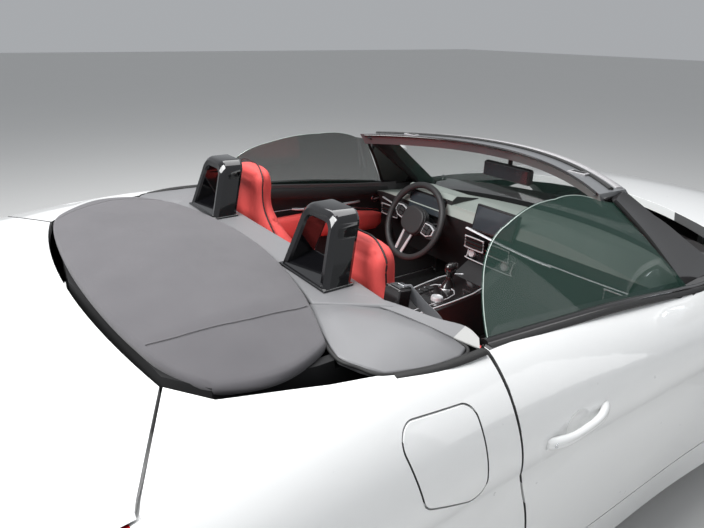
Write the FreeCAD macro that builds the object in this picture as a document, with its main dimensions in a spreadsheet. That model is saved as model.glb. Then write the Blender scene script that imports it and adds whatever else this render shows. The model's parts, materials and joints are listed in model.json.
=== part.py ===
import FreeCAD, Part
import Sketcher
import math
import os
from types import SimpleNamespace
from FreeCAD import Vector, Rotation, Placement

# Two-seat convertible with its soft top folded away, in millimetres.
# +X points forwards, +Y to the car's left, +Z up. The origin is on the ground, under the
# middle of the car's length.

# Driving dimensions. Each name is an alias in the sheet.
SIZES = {
    # overall
    "nose_x": 2162.0, "tail_x": -2162.0, "half_width": 932.0, "panel_gap": 5.0,
    "side_wall": 85.0, "top_wall": 32.0, "shoulder_wall": 58.0, "nose_wall": 172.0,
    # running gear
    "front_axle_x": 1334.0, "rear_axle_x": -1136.0, "front_track": 1609.0, "rear_track": 1616.0,
    "tyre_radius": 329.0, "front_tyre_width": 225.0, "rear_tyre_width": 255.0,
    "rim_radius": 229.0, "rim_lip": 12.0, "rim_wall": 14.0, "bead_inset": 18.0, "tyre_bulge": 3.0,
    "shoulder_inset": 26.0, "hub_radius": 72.0, "hub_bore_radius": 32.0, "hub_length": 46.0,
    "hub_depth": 30.0, "spoke_pairs": 5.0, "spoke_root": 11.0, "spoke_tip": 8.0,
    "spoke_pitch": 13.0, "spoke_spread": 30.0, "spoke_thickness": 36.0, "spoke_dish": 20.0,
    "arch_radius": 378.0, "disc_radius": 174.0,
    "disc_thickness": 30.0, "hub_fit": 0.3, "seat_gap": 0.3,
    # doors
    "door_front_x": 612.0, "door_base_z": 300.0, "door_rear_top_x": -755.0,
    "door_rear_low_x": -638.0, "shut_taper": 16.0, "door_pin_x": 526.0, "door_pin_y": 870.0,
    "door_pin_radius": 7.0, "hinge_gap": 7.0,
    # cabin opening, windscreen and side glass
    "opening_half": 742.0, "bonnet_rear_x": 850.0, "bonnet_rear_side_x": 630.0,
    "header_z": 1186.0, "header_rear_x": 130.0, "header_corner_x": -88.0, "header_half": 596.0,
    "header_depth": 150.0, "header_height": 46.0, "pillar_foot_x": 470.0,
    "pillar_foot_y": 735.0, "scuttle_z": 850.0, "scuttle_wall": 26.0, "screen_wall": 6.0,
    "screen_low_x": 745.0, "screen_top_x": 215.0,
    "glass_wall": 5.0, "glass_belt_y": 780.0, "glass_belt_z": 930.0, "glass_lean": 0.68,
    "glass_toe": 4.3, "glass_pivot_x": -400.0,
    # bonnet, boot lid and lamps
    "bonnet_front_x": 1985.0, "bonnet_side_z": 800.0, "bonnet_tip_z": 704.0,
    "lid_front_x": -1434.0, "lid_corner_x": -1372.0, "lid_corner_y": 584.0,
    "lamp_tip_x": -1489.0, "lamp_tip_z": 940.0, "lid_base_z": 690.0, "lid_base_half": 560.0,
    # grille and tail fittings
    "grille_half": 390.0, "grille_base_z": 430.0, "grille_top_z": 610.0, "grille_depth": 70.0,
    "slat_count": 7.0, "slat_thickness": 9.0, "pipe_radius": 50.0, "pipe_y": 560.0,
    "plate_half": 262.0, "plate_base_z": 425.0, "plate_top_z": 548.0, "plate_recess": 12.0,
    "diffuser_half": 430.0, "diffuser_top_z": 340.0, "diffuser_length": 150.0, "fin_count": 5.0,
    # floor
    "floor_z": 150.0, "floor_wall": 40.0, "tunnel_half": 130.0, "tunnel_z": 430.0,
    "bulkhead_x": 640.0, "rear_bulkhead_x": -905.0, "bulkhead_wall": 40.0, "boot_floor_z": 470.0,
    "bulkhead_top_z": 960.0,
    "jack_pad_x": 520.0, "jack_pad_rear_x": -600.0, "jack_pad_y": 800.0,
    # deck, cover and hoops
    "deck_z": 1008.0, "deck_wall": 28.0, "deck_front_x": -822.0, "cover_front_x": -925.0,
    "cover_rear_x": -1416.0, "cover_crown": 60.0, "cover_half": 700.0, "well_depth": 260.0,
    "hoop_y": 340.0, "hoop_base_x": -934.0, "hoop_half_base": 113.0, "hoop_half_top": 84.0,
    "hoop_height": 178.0, "hoop_depth": 62.0, "hoop_bar": 34.0, "hoop_lean": 18.0,
    "hoop_bevel": 9.0,
    # cabin
    "seat_y": 368.0, "seat_half": 245.0, "cushion_z": 480.0, "cushion_front_x": -60.0,
    "seat_back_x": -548.0, "seat_top_z": 1140.0, "seat_lean": 138.0, "seat_thickness": 122.0,
    "driver_forward": 35.0, "driver_raise": 40.0,
    "wheel_x": 57.0, "wheel_z": 798.0, "wheel_radius": 182.5, "wheel_grip": 16.0,
    "wheel_tilt": 22.5, "wheel_turn": 12.0, "dash_top_z": 905.0, "dash_half": 735.0,
    "console_half": 125.0, "console_z": 640.0, "engine_length": 620.0, "engine_half": 290.0,
    "engine_base_z": 260.0, "engine_height": 560.0,
    # door mirrors and fuel flap
    "mirror_x": 330.0, "mirror_y": 1012.0, "mirror_z": 1040.0, "flap_front_x": -846.0,
    "flap_rear_x": -1058.0, "flap_base_z": 708.0, "flap_top_z": 941.0, "flap_gap": 4.0,
    "flap_corner": 34.0, "flap_wall": 9.0,
    # door handles
    "handle_x": -542.0, "handle_z": 762.0, "handle_length": 228.0, "handle_rise": 14.0,
    "handle_proud": 26.0, "dish_radius": 47.0, "dish_depth": 13.0,
    # towing eye
    "tow_y": 470.0, "tow_z": 520.0, "tow_bore": 9.0, "tow_depth": 60.0,
}

doc = FreeCAD.newDocument("Convertible")
sheet = doc.addObject("Spreadsheet::Sheet", "Sizes")
for row_number, (alias, value) in enumerate(SIZES.items(), start=1):
    sheet.set(f"A{row_number}", alias)
    sheet.set(f"B{row_number}", str(value))
    sheet.setAlias(f"B{row_number}", alias)
doc.recompute()
S = SimpleNamespace(**{alias: float(sheet.get(alias)) for alias in SIZES})

PARTS = []
SIDES = (("left", 1.0), ("right", -1.0))
FAR = 3000.0

# Cross-sections of the outer skin from nose to tail. Columns: station x, crown z on the
# centre line, shoulder inset and z, widest inset and z, sill inset and z. Insets are
# measured inwards from the half width.
SKIN = (
    (S.nose_x, 548, 560, 535, 430, 430, 520, 215),
    (S.nose_x - 22, 612, 450, 592, 300, 440, 380, 200),
    (S.nose_x - 75, 672, 350, 642, 165, 460, 230, 185),
    (S.nose_x - 165, 722, 285, 694, 78, 500, 130, 175),
    (S.nose_x - 310, 775, 250, 745, 28, 540, 72, 168),
    (S.nose_x - 560, 842, 220, 806, 8, 580, 52, 162),
    (S.front_axle_x, 890, 205, 842, 2, 600, 47, 160),
    (S.front_axle_x - 334, 926, 195, 856, 14, 620, 57, 160),
    (S.door_front_x + 40, 948, 165, 858, 30, 620, 46, 160),
    (200, 938, 138, 872, 24, 660, 60, 160),
    (-300, 962, 130, 926, 18, 680, 56, 160),
    (S.door_rear_top_x, 990, 116, 970, 12, 700, 52, 162),
    (S.rear_axle_x, 1001, 92, 972, 0, 700, 42, 165),
    (-1500, 992, 118, 955, 7, 690, 47, 190),
    (-1800, 978, 160, 944, 27, 680, 62, 215),
    (S.tail_x + 100, 984, 225, 936, 72, 650, 92, 250),
)
# The tail face falls from the lid's lip to the bumper. Same columns.
TAIL = (
    SKIN[-1],
    (S.tail_x + 60, 800, 260, 790, 120, 600, 130, 255),
    (S.tail_x, 640, 340, 610, 230, 480, 250, 300),
)


def edges_through(items, place):
    """Closed run of lines and arcs. A four-value item is an arc: its via point, then its end."""
    edges = []
    here = place(*items[0])
    for item in list(items[1:]) + [items[0]]:
        there = place(*item[-2:])
        if len(item) == 4:
            edges.append(Part.Arc(here, place(*item[:2]), there).toShape())
        elif here.distanceToPoint(there) > 1e-6:
            edges.append(Part.LineSegment(here, there).toShape())
        here = there
    return edges


def slab_x(items, low, high):
    """Outline in Y and Z, drawn out along X."""
    face = Part.Face(Part.Wire(edges_through(items, lambda y, z: Vector(low, y, z))))
    return face.extrude(Vector(high - low, 0, 0))


def slab_y(items, low, high, grow=0.0):
    """Outline in X and Z, grown outwards by a gap if there is one, drawn out along Y."""
    face = Part.Face(Part.Wire(edges_through(items, lambda x, z: Vector(x, low, z))))
    if grow:
        face = face.makeOffset2D(grow, join=2)
    return face.extrude(Vector(0, high - low, 0))


def slab_z(items, low, high):
    """Outline in X and Y, drawn out along Z."""
    face = Part.Face(Part.Wire(edges_through(items, lambda x, y: Vector(x, y, low))))
    return face.extrude(Vector(0, 0, high - low))


def block(x, y, z):
    """Rectangular block from three (low, high) pairs."""
    return Part.makeBox(x[1] - x[0], y[1] - y[0], z[1] - z[0], Vector(x[0], y[0], z[0]))


def rounded(corners, radius):
    """Outline of lines through corners, each rounded by an arc."""
    items = []
    count = len(corners)
    for number, corner in enumerate(corners):
        here = Vector(*corner, 0)
        before = Vector(*corners[number - 1], 0) - here
        after = Vector(*corners[(number + 1) % count], 0) - here
        before.normalize()
        after.normalize()
        half_angle = 0.5 * before.getAngle(after)
        reach = radius / math.tan(half_angle)
        start = here + before * reach
        end = here + after * reach
        middle = before + after
        middle.normalize()
        via = here + middle * (radius / math.sin(half_angle) - radius)
        items.append((start.x, start.y))
        items.append((via.x, via.y, end.x, end.y))
    return items


def mirrored(shape):
    """The shape on the other side of the centre line."""
    return shape.mirror(Vector(0, 0, 0), Vector(0, 1, 0))


def on_side(shape, side):
    """A shape modelled on the left, or its mirror image for the right."""
    return shape if side > 0 else mirrored(shape)


def keep_solids(shape, least=2000.0):
    """Drop the slivers that trimming leaves, and merge split faces."""
    solids = [solid for solid in shape.Solids if solid.Volume > least]
    if len(solids) == 1:
        return solids[0]
    return Part.makeCompound(solids)


def add_part(label, shape, place=None):
    """Store a finished shape as one named sub-part."""
    item = doc.addObject("Part::Feature", label)
    item.Label = label
    item.Shape = shape
    if place is not None:
        item.Placement = place
    PARTS.append(item)
    return item


# Outer skin and the hollow inside it

def section_wire(row, side_wall=0.0, shoulder_wall=0.0, top_wall=0.0, drop=0.0):
    """One closed section: crown, rounded shoulders, bulging sides and a flat underside."""
    x, crown, shoulder_in, shoulder_z, wide_in, wide_z, sill_in, sill_z = row
    ys = S.half_width - shoulder_in - shoulder_wall
    yw = S.half_width - wide_in - side_wall
    yb = S.half_width - sill_in - side_wall
    crown = crown - top_wall
    zs = shoulder_z - top_wall
    zb = sill_z - drop
    round_y = ys + 0.78 * (yw - ys)
    round_z = zs - 0.30 * (zs - wide_z)
    belly_y = max(yw, yb) - 0.35 * abs(yw - yb)
    belly_z = 0.5 * (wide_z + zb)
    items = [(-ys, zs), (0, crown, ys, zs), (round_y, round_z, yw, wide_z),
             (belly_y, belly_z, yb, zb), (-yb, zb), (-belly_y, belly_z, -yw, wide_z),
             (-round_y, round_z, -ys, zs)]
    return Part.Wire(edges_through(items, lambda y, z: Vector(x, y, z)))


def skin_solid():
    """The car's whole outer form: a smooth loft, and the tail face as straight facets."""
    body = Part.makeLoft([section_wire(row) for row in SKIN], True, False)
    tail = Part.makeLoft([section_wire(row) for row in TAIL], True, True)
    return body, tail


def hollow_solid():
    """The space inside the body panels, open below."""
    rows = [row for row in SKIN if row[0] < S.nose_x - S.nose_wall + 10]
    walls = dict(side_wall=S.side_wall, shoulder_wall=S.shoulder_wall,
                 top_wall=S.top_wall, drop=120.0)
    return Part.makeLoft([section_wire(row, **walls) for row in rows], True, False)


SKIN_BODY, SKIN_TAIL = skin_solid()
HOLLOW = hollow_solid()
SHELL = SKIN_BODY.cut(HOLLOW)
GAP = S.panel_gap
HALF = 0.5 * GAP

# Side-view outlines of the panels, as x and z
DOOR = [(S.door_front_x, S.door_base_z), (S.door_front_x + 14, 620), (S.door_front_x + 8, 1100),
        (S.door_rear_top_x - 3, 1100), (S.door_rear_top_x, 920), (S.door_rear_top_x + 2, 870),
        (S.door_rear_top_x + 20, 755, S.door_rear_low_x - 48, 605),
        (S.door_rear_low_x - 14, 490, S.door_rear_low_x, 380), (S.door_rear_low_x + 30, S.door_base_z)]
BONNET_EDGE = [(0, S.bonnet_side_z + 20), (S.door_front_x, S.bonnet_side_z),
               (S.front_axle_x + 380, S.bonnet_tip_z + 30), (2400, S.bonnet_tip_z - 20)]
LAMP_TOP = [(S.lamp_tip_x, S.lamp_tip_z), (S.lamp_tip_x - 320, S.lamp_tip_z - 36),
            (-2400, S.lamp_tip_z - 60)]
LAMP = LAMP_TOP + [(-2400, 775), (S.lamp_tip_x - 360, 806)]
TAIL_SPLIT = [(-1490, 600), (-2400, 720), (-2400, 0), (-1490, 0)]
HEADLAMP = [(1590, 700), (1735, 745), (2060, 690), (2110, 600), (1960, 590), (1740, 640)]
NOSE_SPLIT_X = S.front_axle_x + S.arch_radius + 18


def above(line):
    """Outline of everything above a side-view line."""
    return line + [(line[-1][0], FAR), (line[0][0], FAR)]


def shifted(line, rise):
    """The same side-view line, moved up or down."""
    return [(x, z + rise) for x, z in line]


def opening_outline(grow=0.0):
    """Plan of the opening for the cabin and the folded top, windscreen to boot lid."""
    rear = S.lid_front_x - grow
    corner_x = S.lid_corner_x - 0.6 * grow
    corner_y = S.lid_corner_y + 0.6 * grow
    side = S.opening_half + grow
    front_y = side + 60
    half = [(S.bonnet_rear_side_x + grow, front_y), (S.door_front_x - 60, side),
            (-650, side), (S.door_rear_top_x, side + 62), (-900, side + 62),
            (-1107, S.cover_half + 49 + grow), (-1303, 674 + 0.6 * grow), (corner_x, corner_y)]
    other = [(x, -y) for x, y in reversed(half)]
    return half + [(rear, 0, *other[0])] + other[1:]


def opening_cut(grow=0.0):
    """The opening as a cutter, with its front edge bowed along the windscreen's base."""
    half = opening_outline(grow)
    bow = S.bonnet_rear_x + grow
    front = half[0]
    items = [(front[0], -front[1]), (bow, 0, front[0], front[1])] + half[1:-1]
    return slab_z(items, 500, 1500)


def lid_plan(grow):
    """Plan of the boot lid, or of the hole for it when grown by the gap."""
    front = S.lid_front_x + grow
    corner = (S.lid_corner_x + grow, S.lid_corner_y + grow)
    tip = (S.lamp_tip_x + grow, 831 + grow)
    half = [corner, tip, (S.lamp_tip_x + grow, 1000), (-2400, 1000)]
    other = [(x, -y) for x, y in reversed(half)]
    return [(other[-1][0], other[-1][1]), (front, 0, corner[0], corner[1])] + half[1:] + other[:-1]


def arch_cutters():
    """Wheel arch cylinders through the side walls."""
    cutters = []
    for axle_x in (S.front_axle_x, S.rear_axle_x):
        for side in (1, -1):
            centre = Vector(axle_x, side * 560, S.tyre_radius)
            cutters.append(Part.makeCylinder(S.arch_radius, 500, centre, Vector(0, side, 0)))
    return cutters


ARCHES = arch_cutters()
OPENING = opening_cut()


def build_bonnet():
    """Clamshell bonnet, from the windscreen's base to the nose."""
    region = slab_y(above(shifted(BONNET_EDGE, HALF)), -FAR, FAR)
    rear = S.bonnet_rear_side_x + GAP
    front = S.bonnet_front_x
    plan = [(rear, -FAR), (rear, -800), (S.bonnet_rear_x + GAP, 0, rear, 800), (rear, FAR),
            (front - 190, FAR), (front - 190, 800), (front, 0, front - 190, -800),
            (front - 190, -FAR)]
    shape = SHELL.common(region).common(slab_z(plan, 0, 1500))
    add_part("bonnet", keep_solids(shape))


def bonnet_hole():
    """Room for the bonnet and its gap, cut from the nose, wings and lamps."""
    region = slab_y(above(shifted(BONNET_EDGE, -HALF)), -FAR, FAR)
    front = S.bonnet_front_x + GAP
    plan = [(0, -FAR), (0, FAR), (front - 190, FAR), (front - 190, 800),
            (front, 0, front - 190, -800), (front - 190, -FAR)]
    return region.common(slab_z(plan, 0, 1500))


BONNET_HOLE = bonnet_hole()


def headlamp_solid(gap=0.0):
    """Left headlamp's space in the corner of the nose."""
    return slab_y(HEADLAMP, 470 - gap, FAR, gap)


def build_nose():
    """Front bumper with its grille and intake openings, headlamps and grille."""
    solid = SKIN_BODY.cut(HOLLOW)
    region = block((NOSE_SPLIT_X, FAR), (-FAR, FAR), (0, FAR))
    shape = solid.common(region).cut(BONNET_HOLE)
    for side in (1, -1):
        shape = shape.cut(on_side(headlamp_solid(), side))
    grille = grille_outline(0.0)
    intake = [(-560, 235), (560, 235), (500, 360), (-500, 360)]
    shape = shape.cut(slab_x(grille, S.nose_x - 160, FAR))
    shape = shape.cut(slab_x(intake, S.nose_x - 130, FAR))
    tow = Part.makeCylinder(22, 400, Vector(S.nose_x - 300, S.tow_y, S.tow_z), Vector(1, 0, 0))
    shape = shape.cut(tow)
    add_part("front_bumper", keep_solids(shape))
    lamps = []
    for side in (1, -1):
        lamp = solid.common(on_side(headlamp_solid(-1.0), side)).cut(BONNET_HOLE)
        lamps += [piece for piece in lamp.Solids if piece.Volume > 2000]
    add_part("headlamps", Part.makeCompound(lamps))


def grille_outline(inset):
    """Grille mouth in Y and Z: wide above, narrower below."""
    half = S.grille_half - inset
    base = S.grille_base_z + inset
    top = S.grille_top_z - inset
    return [(-half + 60, base), (half - 60, base), (half, base + 60), (half - 40, top),
            (-half + 40, top), (-half, base + 60)]


def build_grille():
    """Grille: a rim that fits its mouth, upright slats and two rails."""
    front = S.nose_x - 70
    back = front - S.grille_depth
    rim = slab_x(grille_outline(0.0), back, front).cut(slab_x(grille_outline(14.0), back, front))
    pieces = []
    count = int(S.slat_count)
    pitch = 2 * S.grille_half / (count + 1)
    for number in range(count):
        y = -S.grille_half + pitch * (number + 1)
        half = 0.5 * S.slat_thickness
        pieces.append(block((back, front - 12), (y - half, y + half),
                            (S.grille_base_z + 2, S.grille_top_z - 2)))
    rail_z = 0.5 * (S.grille_base_z + S.grille_top_z)
    pieces.append(block((back, front - 20), (-S.grille_half + 12, S.grille_half - 12),
                        (rail_z - 5, rail_z + 5)))
    bars = pieces[0].multiFuse(pieces[1:]).common(slab_x(grille_outline(5.0), back, front))
    add_part("grille", rim.fuse(bars).removeSplitter())


def build_wings():
    """Front wings: the sides between bumper, bonnet and door, round the wheel arches."""
    region = block((S.door_front_x - 60, NOSE_SPLIT_X - GAP), (0, FAR), (0, FAR))
    shape = SHELL.common(region).cut(BONNET_HOLE).cut(OPENING)
    shape = shape.cut(slab_y(DOOR, 0, FAR, S.hinge_gap)).cut(ARCHES[0])
    shape = shape.cut(slab_y(DOOR, 0, S.door_pin_y + 16, 3 * S.hinge_gap))
    shape = shape.cut(block((0, S.door_front_x + GAP + 6), (0, FAR), (0, S.door_base_z + GAP)))
    shape = shape.cut(headlamp_solid())
    shape = keep_solids(shape)
    for label, side in SIDES:
        add_part(f"front_wing_{label}", on_side(shape, side))


def door_wedge():
    """Door's space on the left. Its rear and front shut faces close in towards the cabin."""
    inner = []
    for item in DOOR:
        shift = S.shut_taper if item[0] < 0 else -4
        inner.append(tuple(value + shift * (1 - place % 2) for place, value in enumerate(item)))
    outer_wire = Part.Wire(edges_through(DOOR, lambda x, z: Vector(x, 960, z)))
    inner_wire = Part.Wire(edges_through(inner, lambda x, z: Vector(x, 640, z)))
    return Part.makeLoft([outer_wire, inner_wire], True, True)


GLASS_OUTLINE = [(205, 820), (168, 890), (-42, 1138), (-104, 1152), (-180, 1176, -300, 1184),
                 (-420, 1181, -520, 1160), (-600, 1125, -648, 1072), (-690, 985, -700, 880),
                 (-690, 820)]


def glass_strip(grow=0.0):
    """Leaning, slightly bowed sheet that the left side glass is cut from."""
    def lean_y(z):
        return S.glass_belt_y - S.glass_lean * (z - S.glass_belt_z)
    low, high = 800, 1200
    middle = 0.5 * (low + high)
    bow = 8.0
    half = 0.5 * S.glass_wall + grow
    items = [(lean_y(low) - half, low), (lean_y(low) + half, low),
             (lean_y(middle) + half + bow, middle, lean_y(high) + half, high),
             (lean_y(high) - half, high), (lean_y(middle) - half + bow, middle,
                                           lean_y(low) - half, low)]
    strip = slab_x(items, -900, 500)
    strip.rotate(Vector(S.glass_pivot_x, S.glass_belt_y, 0),
                 Vector(0, 0, 1), -S.glass_toe)
    return strip


def skin_y(x, z):
    """How far out the left side of the skin stands at one place."""
    line = Part.makeLine(Vector(x, 600, z), Vector(x, 1200, z))
    return max(vertex.Y for vertex in line.common(SKIN_BODY).Vertexes)


def handle_shape():
    """Left door's pull: a bar that bows out between its two ends, along the rising waistline."""
    start = S.handle_x - 0.5 * S.handle_length
    slope = S.handle_rise / S.handle_length
    rows = ((0.0, -3.0, 9, 12), (0.10, 8.0, 10, 15), (0.28, S.handle_proud - 7, 8, 13),
            (0.5, S.handle_proud - 5, 8, 12), (0.72, S.handle_proud - 7, 8, 13), (0.90, 8.0, 10, 15),
            (1.0, -3.0, 9, 12))
    wires = []
    for share, proud, deep, tall in rows:
        x = start + share * S.handle_length
        z = S.handle_z + slope * (x - S.handle_x)
        y = skin_y(x, z) + proud
        items = [(y - deep, z), (y, z + tall, y + deep, z), (y, z - tall, y - deep, z)]
        wires.append(Part.Wire(edges_through(items, lambda a, b, x=x: Vector(x, a, b))))
    return Part.makeLoft(wires, True, False)


def build_doors():
    """Doors as thick as the whole door, with the slot for the glass, glass and mirrors."""
    shape = SHELL.common(door_wedge()).cut(OPENING)
    relief = block((250, S.door_front_x + 60), (600, 756), (780, 1100))
    shape = shape.cut(relief).cut(glass_strip(3.0).common(slab_y(spread_box(), 0, FAR)))
    pin_at = Vector(S.door_pin_x, S.door_pin_y, S.door_base_z - GAP)
    shape = keep_solids(shape.cut(Part.makeCylinder(S.door_pin_radius + S.hub_fit, 40, pin_at)))
    ball = (S.dish_radius ** 2 + S.dish_depth ** 2) / (2 * S.dish_depth)
    middle = skin_y(S.handle_x, S.handle_z) + ball - S.dish_depth
    shape = shape.cut(Part.makeSphere(ball, Vector(S.handle_x, middle, S.handle_z)))
    handle = keep_solids(handle_shape().cut(shape))
    glass = glass_strip().common(slab_y(GLASS_OUTLINE, 500, 1000))
    mirror = mirror_shape()
    for label, side in SIDES:
        add_part(f"door_{label}", on_side(shape, side))
        add_part(f"side_glass_{label}", on_side(keep_solids(glass), side))
        add_part(f"door_mirror_{label}", on_side(mirror, side))
        add_part(f"door_handle_{label}", on_side(handle, side))


def spread_box():
    """Side-view room for the lower part of the glass."""
    return [(212, 820), (212, 1150), (-707, 1150), (-707, 820)]


def mirror_shape():
    """Left door mirror: a rounded shell on a short foot that stands on the door."""
    wide = S.mirror_y - 800
    rows = ((0.0, 62, 0.55), (0.18, 92, 0.86), (0.75, 88, 0.95), (1.0, 62, 0.60))
    wires = []
    for share, tall, deep in rows:
        y = 800 + 24 + share * (wide - 24)
        x = S.mirror_x + 20
        z = S.mirror_z - 62
        length = 70 * deep
        half = 0.5 * tall
        items = [(x - length, z - half), (x - length, z + half),
                 (x + length * 0.8, z + half, x + length, z), (x + length * 0.8, z - half,
                                                             x - length, z - half)]
        wires.append(Part.Wire(edges_through(items, lambda a, b, y=y: Vector(a, y, b))))
    head = Part.makeLoft(wires, True, False)
    foot_wires = []
    for z, y, length in ((868, 792, 48), (S.mirror_z - 90, 850, 30)):
        items = [(S.mirror_x - length, y - 9), (S.mirror_x + length, y - 9),
                 (S.mirror_x + length, y + 9), (S.mirror_x - length, y + 9)]
        foot_wires.append(Part.Wire(edges_through(items, lambda a, b, z=z: Vector(a, b, z))))
    return head.fuse(Part.makeLoft(foot_wires, True, True))


def lid_region(grow):
    """Boot lid's space: behind the well, above the lamps and down the tail face."""
    plan = slab_z(lid_plan(grow), 500, 1500)
    edge = [(S.lid_corner_x + 80, S.lamp_tip_z)] + LAMP_TOP
    upper = slab_y(above(shifted(edge, -grow)), -FAR, FAR)
    base = S.lid_base_z - grow
    half = S.lid_base_half + grow
    drop = block((-FAR, S.tail_x + 130), (-half, half), (base, FAR))
    return plan.common(upper.fuse(drop))


def lamp_solid(inset=0.0):
    """Left tail lamp's space: a long tip on the haunch that widens across the tail."""
    inner = S.lid_base_half + GAP + inset
    return slab_y(LAMP, inner, FAR, -inset)


def build_rear():
    """Rear quarters, boot lid, tail lamps, rear bumper and fuel flap."""
    solid = SHELL.fuse(SKIN_TAIL)
    lid = solid.common(lid_region(-HALF))
    lid = lid.cut(slab_z(lid_clearance(), 500, 1500))
    add_part("boot_lid", keep_solids(lid))
    lid_hole = lid_region(HALF)
    split = slab_y(TAIL_SPLIT, -FAR, FAR)
    lamps = []
    for side in (1, -1):
        lamp = solid.common(on_side(lamp_solid(1.0), side)).cut(lid_hole)
        lamps += [piece for piece in lamp.Solids if piece.Volume > 2000]
    add_part("tail_lamps", Part.makeCompound(lamps))
    rest = solid.common(block((-FAR, S.door_rear_low_x + 120), (-FAR, FAR), (0, FAR)))
    rest = rest.cut(OPENING).cut(lid_hole)
    for cutter in ARCHES[2:]:
        rest = rest.cut(cutter)
    for side in (1, -1):
        rest = rest.cut(on_side(lamp_solid(), side))
    for side in (1, -1):
        rest = rest.cut(on_side(slab_y(DOOR, 0, FAR, GAP), side))
        low = block((S.door_rear_low_x - 20, FAR), (0, FAR), (0, S.door_base_z + GAP))
        rest = rest.cut(on_side(low, side))
        rest_z = S.lid_base_z + HALF - S.seat_gap
        stop_at = Vector(S.tail_x + 60, side * 430, S.lid_base_z - 20)
        rest = rest.fuse(Part.makeCylinder(9, rest_z - S.lid_base_z + 20, stop_at))
    bumper = rest.common(split)
    for side in (1, -1):
        pipe = Vector(S.tail_x - 50, side * S.pipe_y, 300)
        bumper = bumper.cut(Part.makeCylinder(S.pipe_radius + 12, 400, pipe, Vector(1, 0, 0)))
    bumper = bumper.cut(block((-FAR, S.tail_x + S.plate_recess), (-S.plate_half, S.plate_half),
                              (S.plate_base_z, S.plate_top_z)))
    bumper = bumper.cut(block((-FAR, S.tail_x + S.diffuser_length),
                              (-S.diffuser_half, S.diffuser_half), (0, S.diffuser_top_z)))
    add_part("rear_bumper", keep_solids(bumper.removeSplitter()))
    upper = rest.cut(split)
    left = keep_solids(upper.common(block((-FAR, FAR), (0, FAR), (0, FAR))))
    add_part("quarter_left", left)
    build_right_quarter(keep_solids(mirrored(left)))


def build_diffuser():
    """Dark insert under the rear bumper: a panel that rises to the tail, and its upright fins."""
    rear = S.tail_x + 14
    front = S.tail_x + S.diffuser_length
    top = S.diffuser_top_z
    panel = slab_y([(rear, top), (front, top), (front, top - 92), (rear, top - 16)],
                   -S.diffuser_half, S.diffuser_half)
    fin = [(rear, top - 10), (rear, top - 42), (front - 50, top - 106), (front, top - 106),
           (front, top - 88)]
    count = int(S.fin_count)
    pieces = []
    for number in range(count):
        y = S.diffuser_half * (0.8 * (2 * number / (count - 1) - 1) if count > 1 else 0.0)
        pieces.append(slab_y(fin, y - 5, y + 5))
    add_part("diffuser", panel.multiFuse(pieces).removeSplitter())


def lid_clearance():
    """Plan of the well, which the boot lid stays clear of."""
    front = S.lid_front_x + GAP
    return [(S.lid_corner_x + 10, S.lid_corner_y + 20), (-900, 760), (-900, -760),
            (S.lid_corner_x + 10, -S.lid_corner_y - 20), (front + 5, 0,
                                                         S.lid_corner_x + 10, S.lid_corner_y + 20)]


FLAP = rounded([(S.flap_rear_x, S.flap_top_z), (S.flap_front_x - 16, S.flap_top_z - 19),
                (S.flap_front_x, S.flap_base_z), (S.flap_rear_x + 40, S.flap_base_z + 75)],
               S.flap_corner)


def build_right_quarter(right):
    """Right quarter with the filler's recess, and its flap."""
    inner = SKIN_BODY.copy()
    inner.translate(Vector(0, S.flap_wall, -0.3 * S.flap_wall))
    flap = SKIN_BODY.common(slab_y(FLAP, -FAR, -600)).cut(inner)
    floor = SKIN_BODY.copy()
    ledge = S.flap_wall + S.seat_gap
    floor.translate(Vector(0, ledge, -0.3 * ledge))
    recess = slab_y(FLAP, -FAR, -600, S.flap_gap).cut(floor)
    pocket = slab_y(FLAP, -FAR, 36 - S.half_width + 2 * S.flap_wall, -16.0)
    add_part("quarter_right", keep_solids(right.cut(recess).cut(pocket)))
    add_part("fuel_flap", keep_solids(flap))


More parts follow.
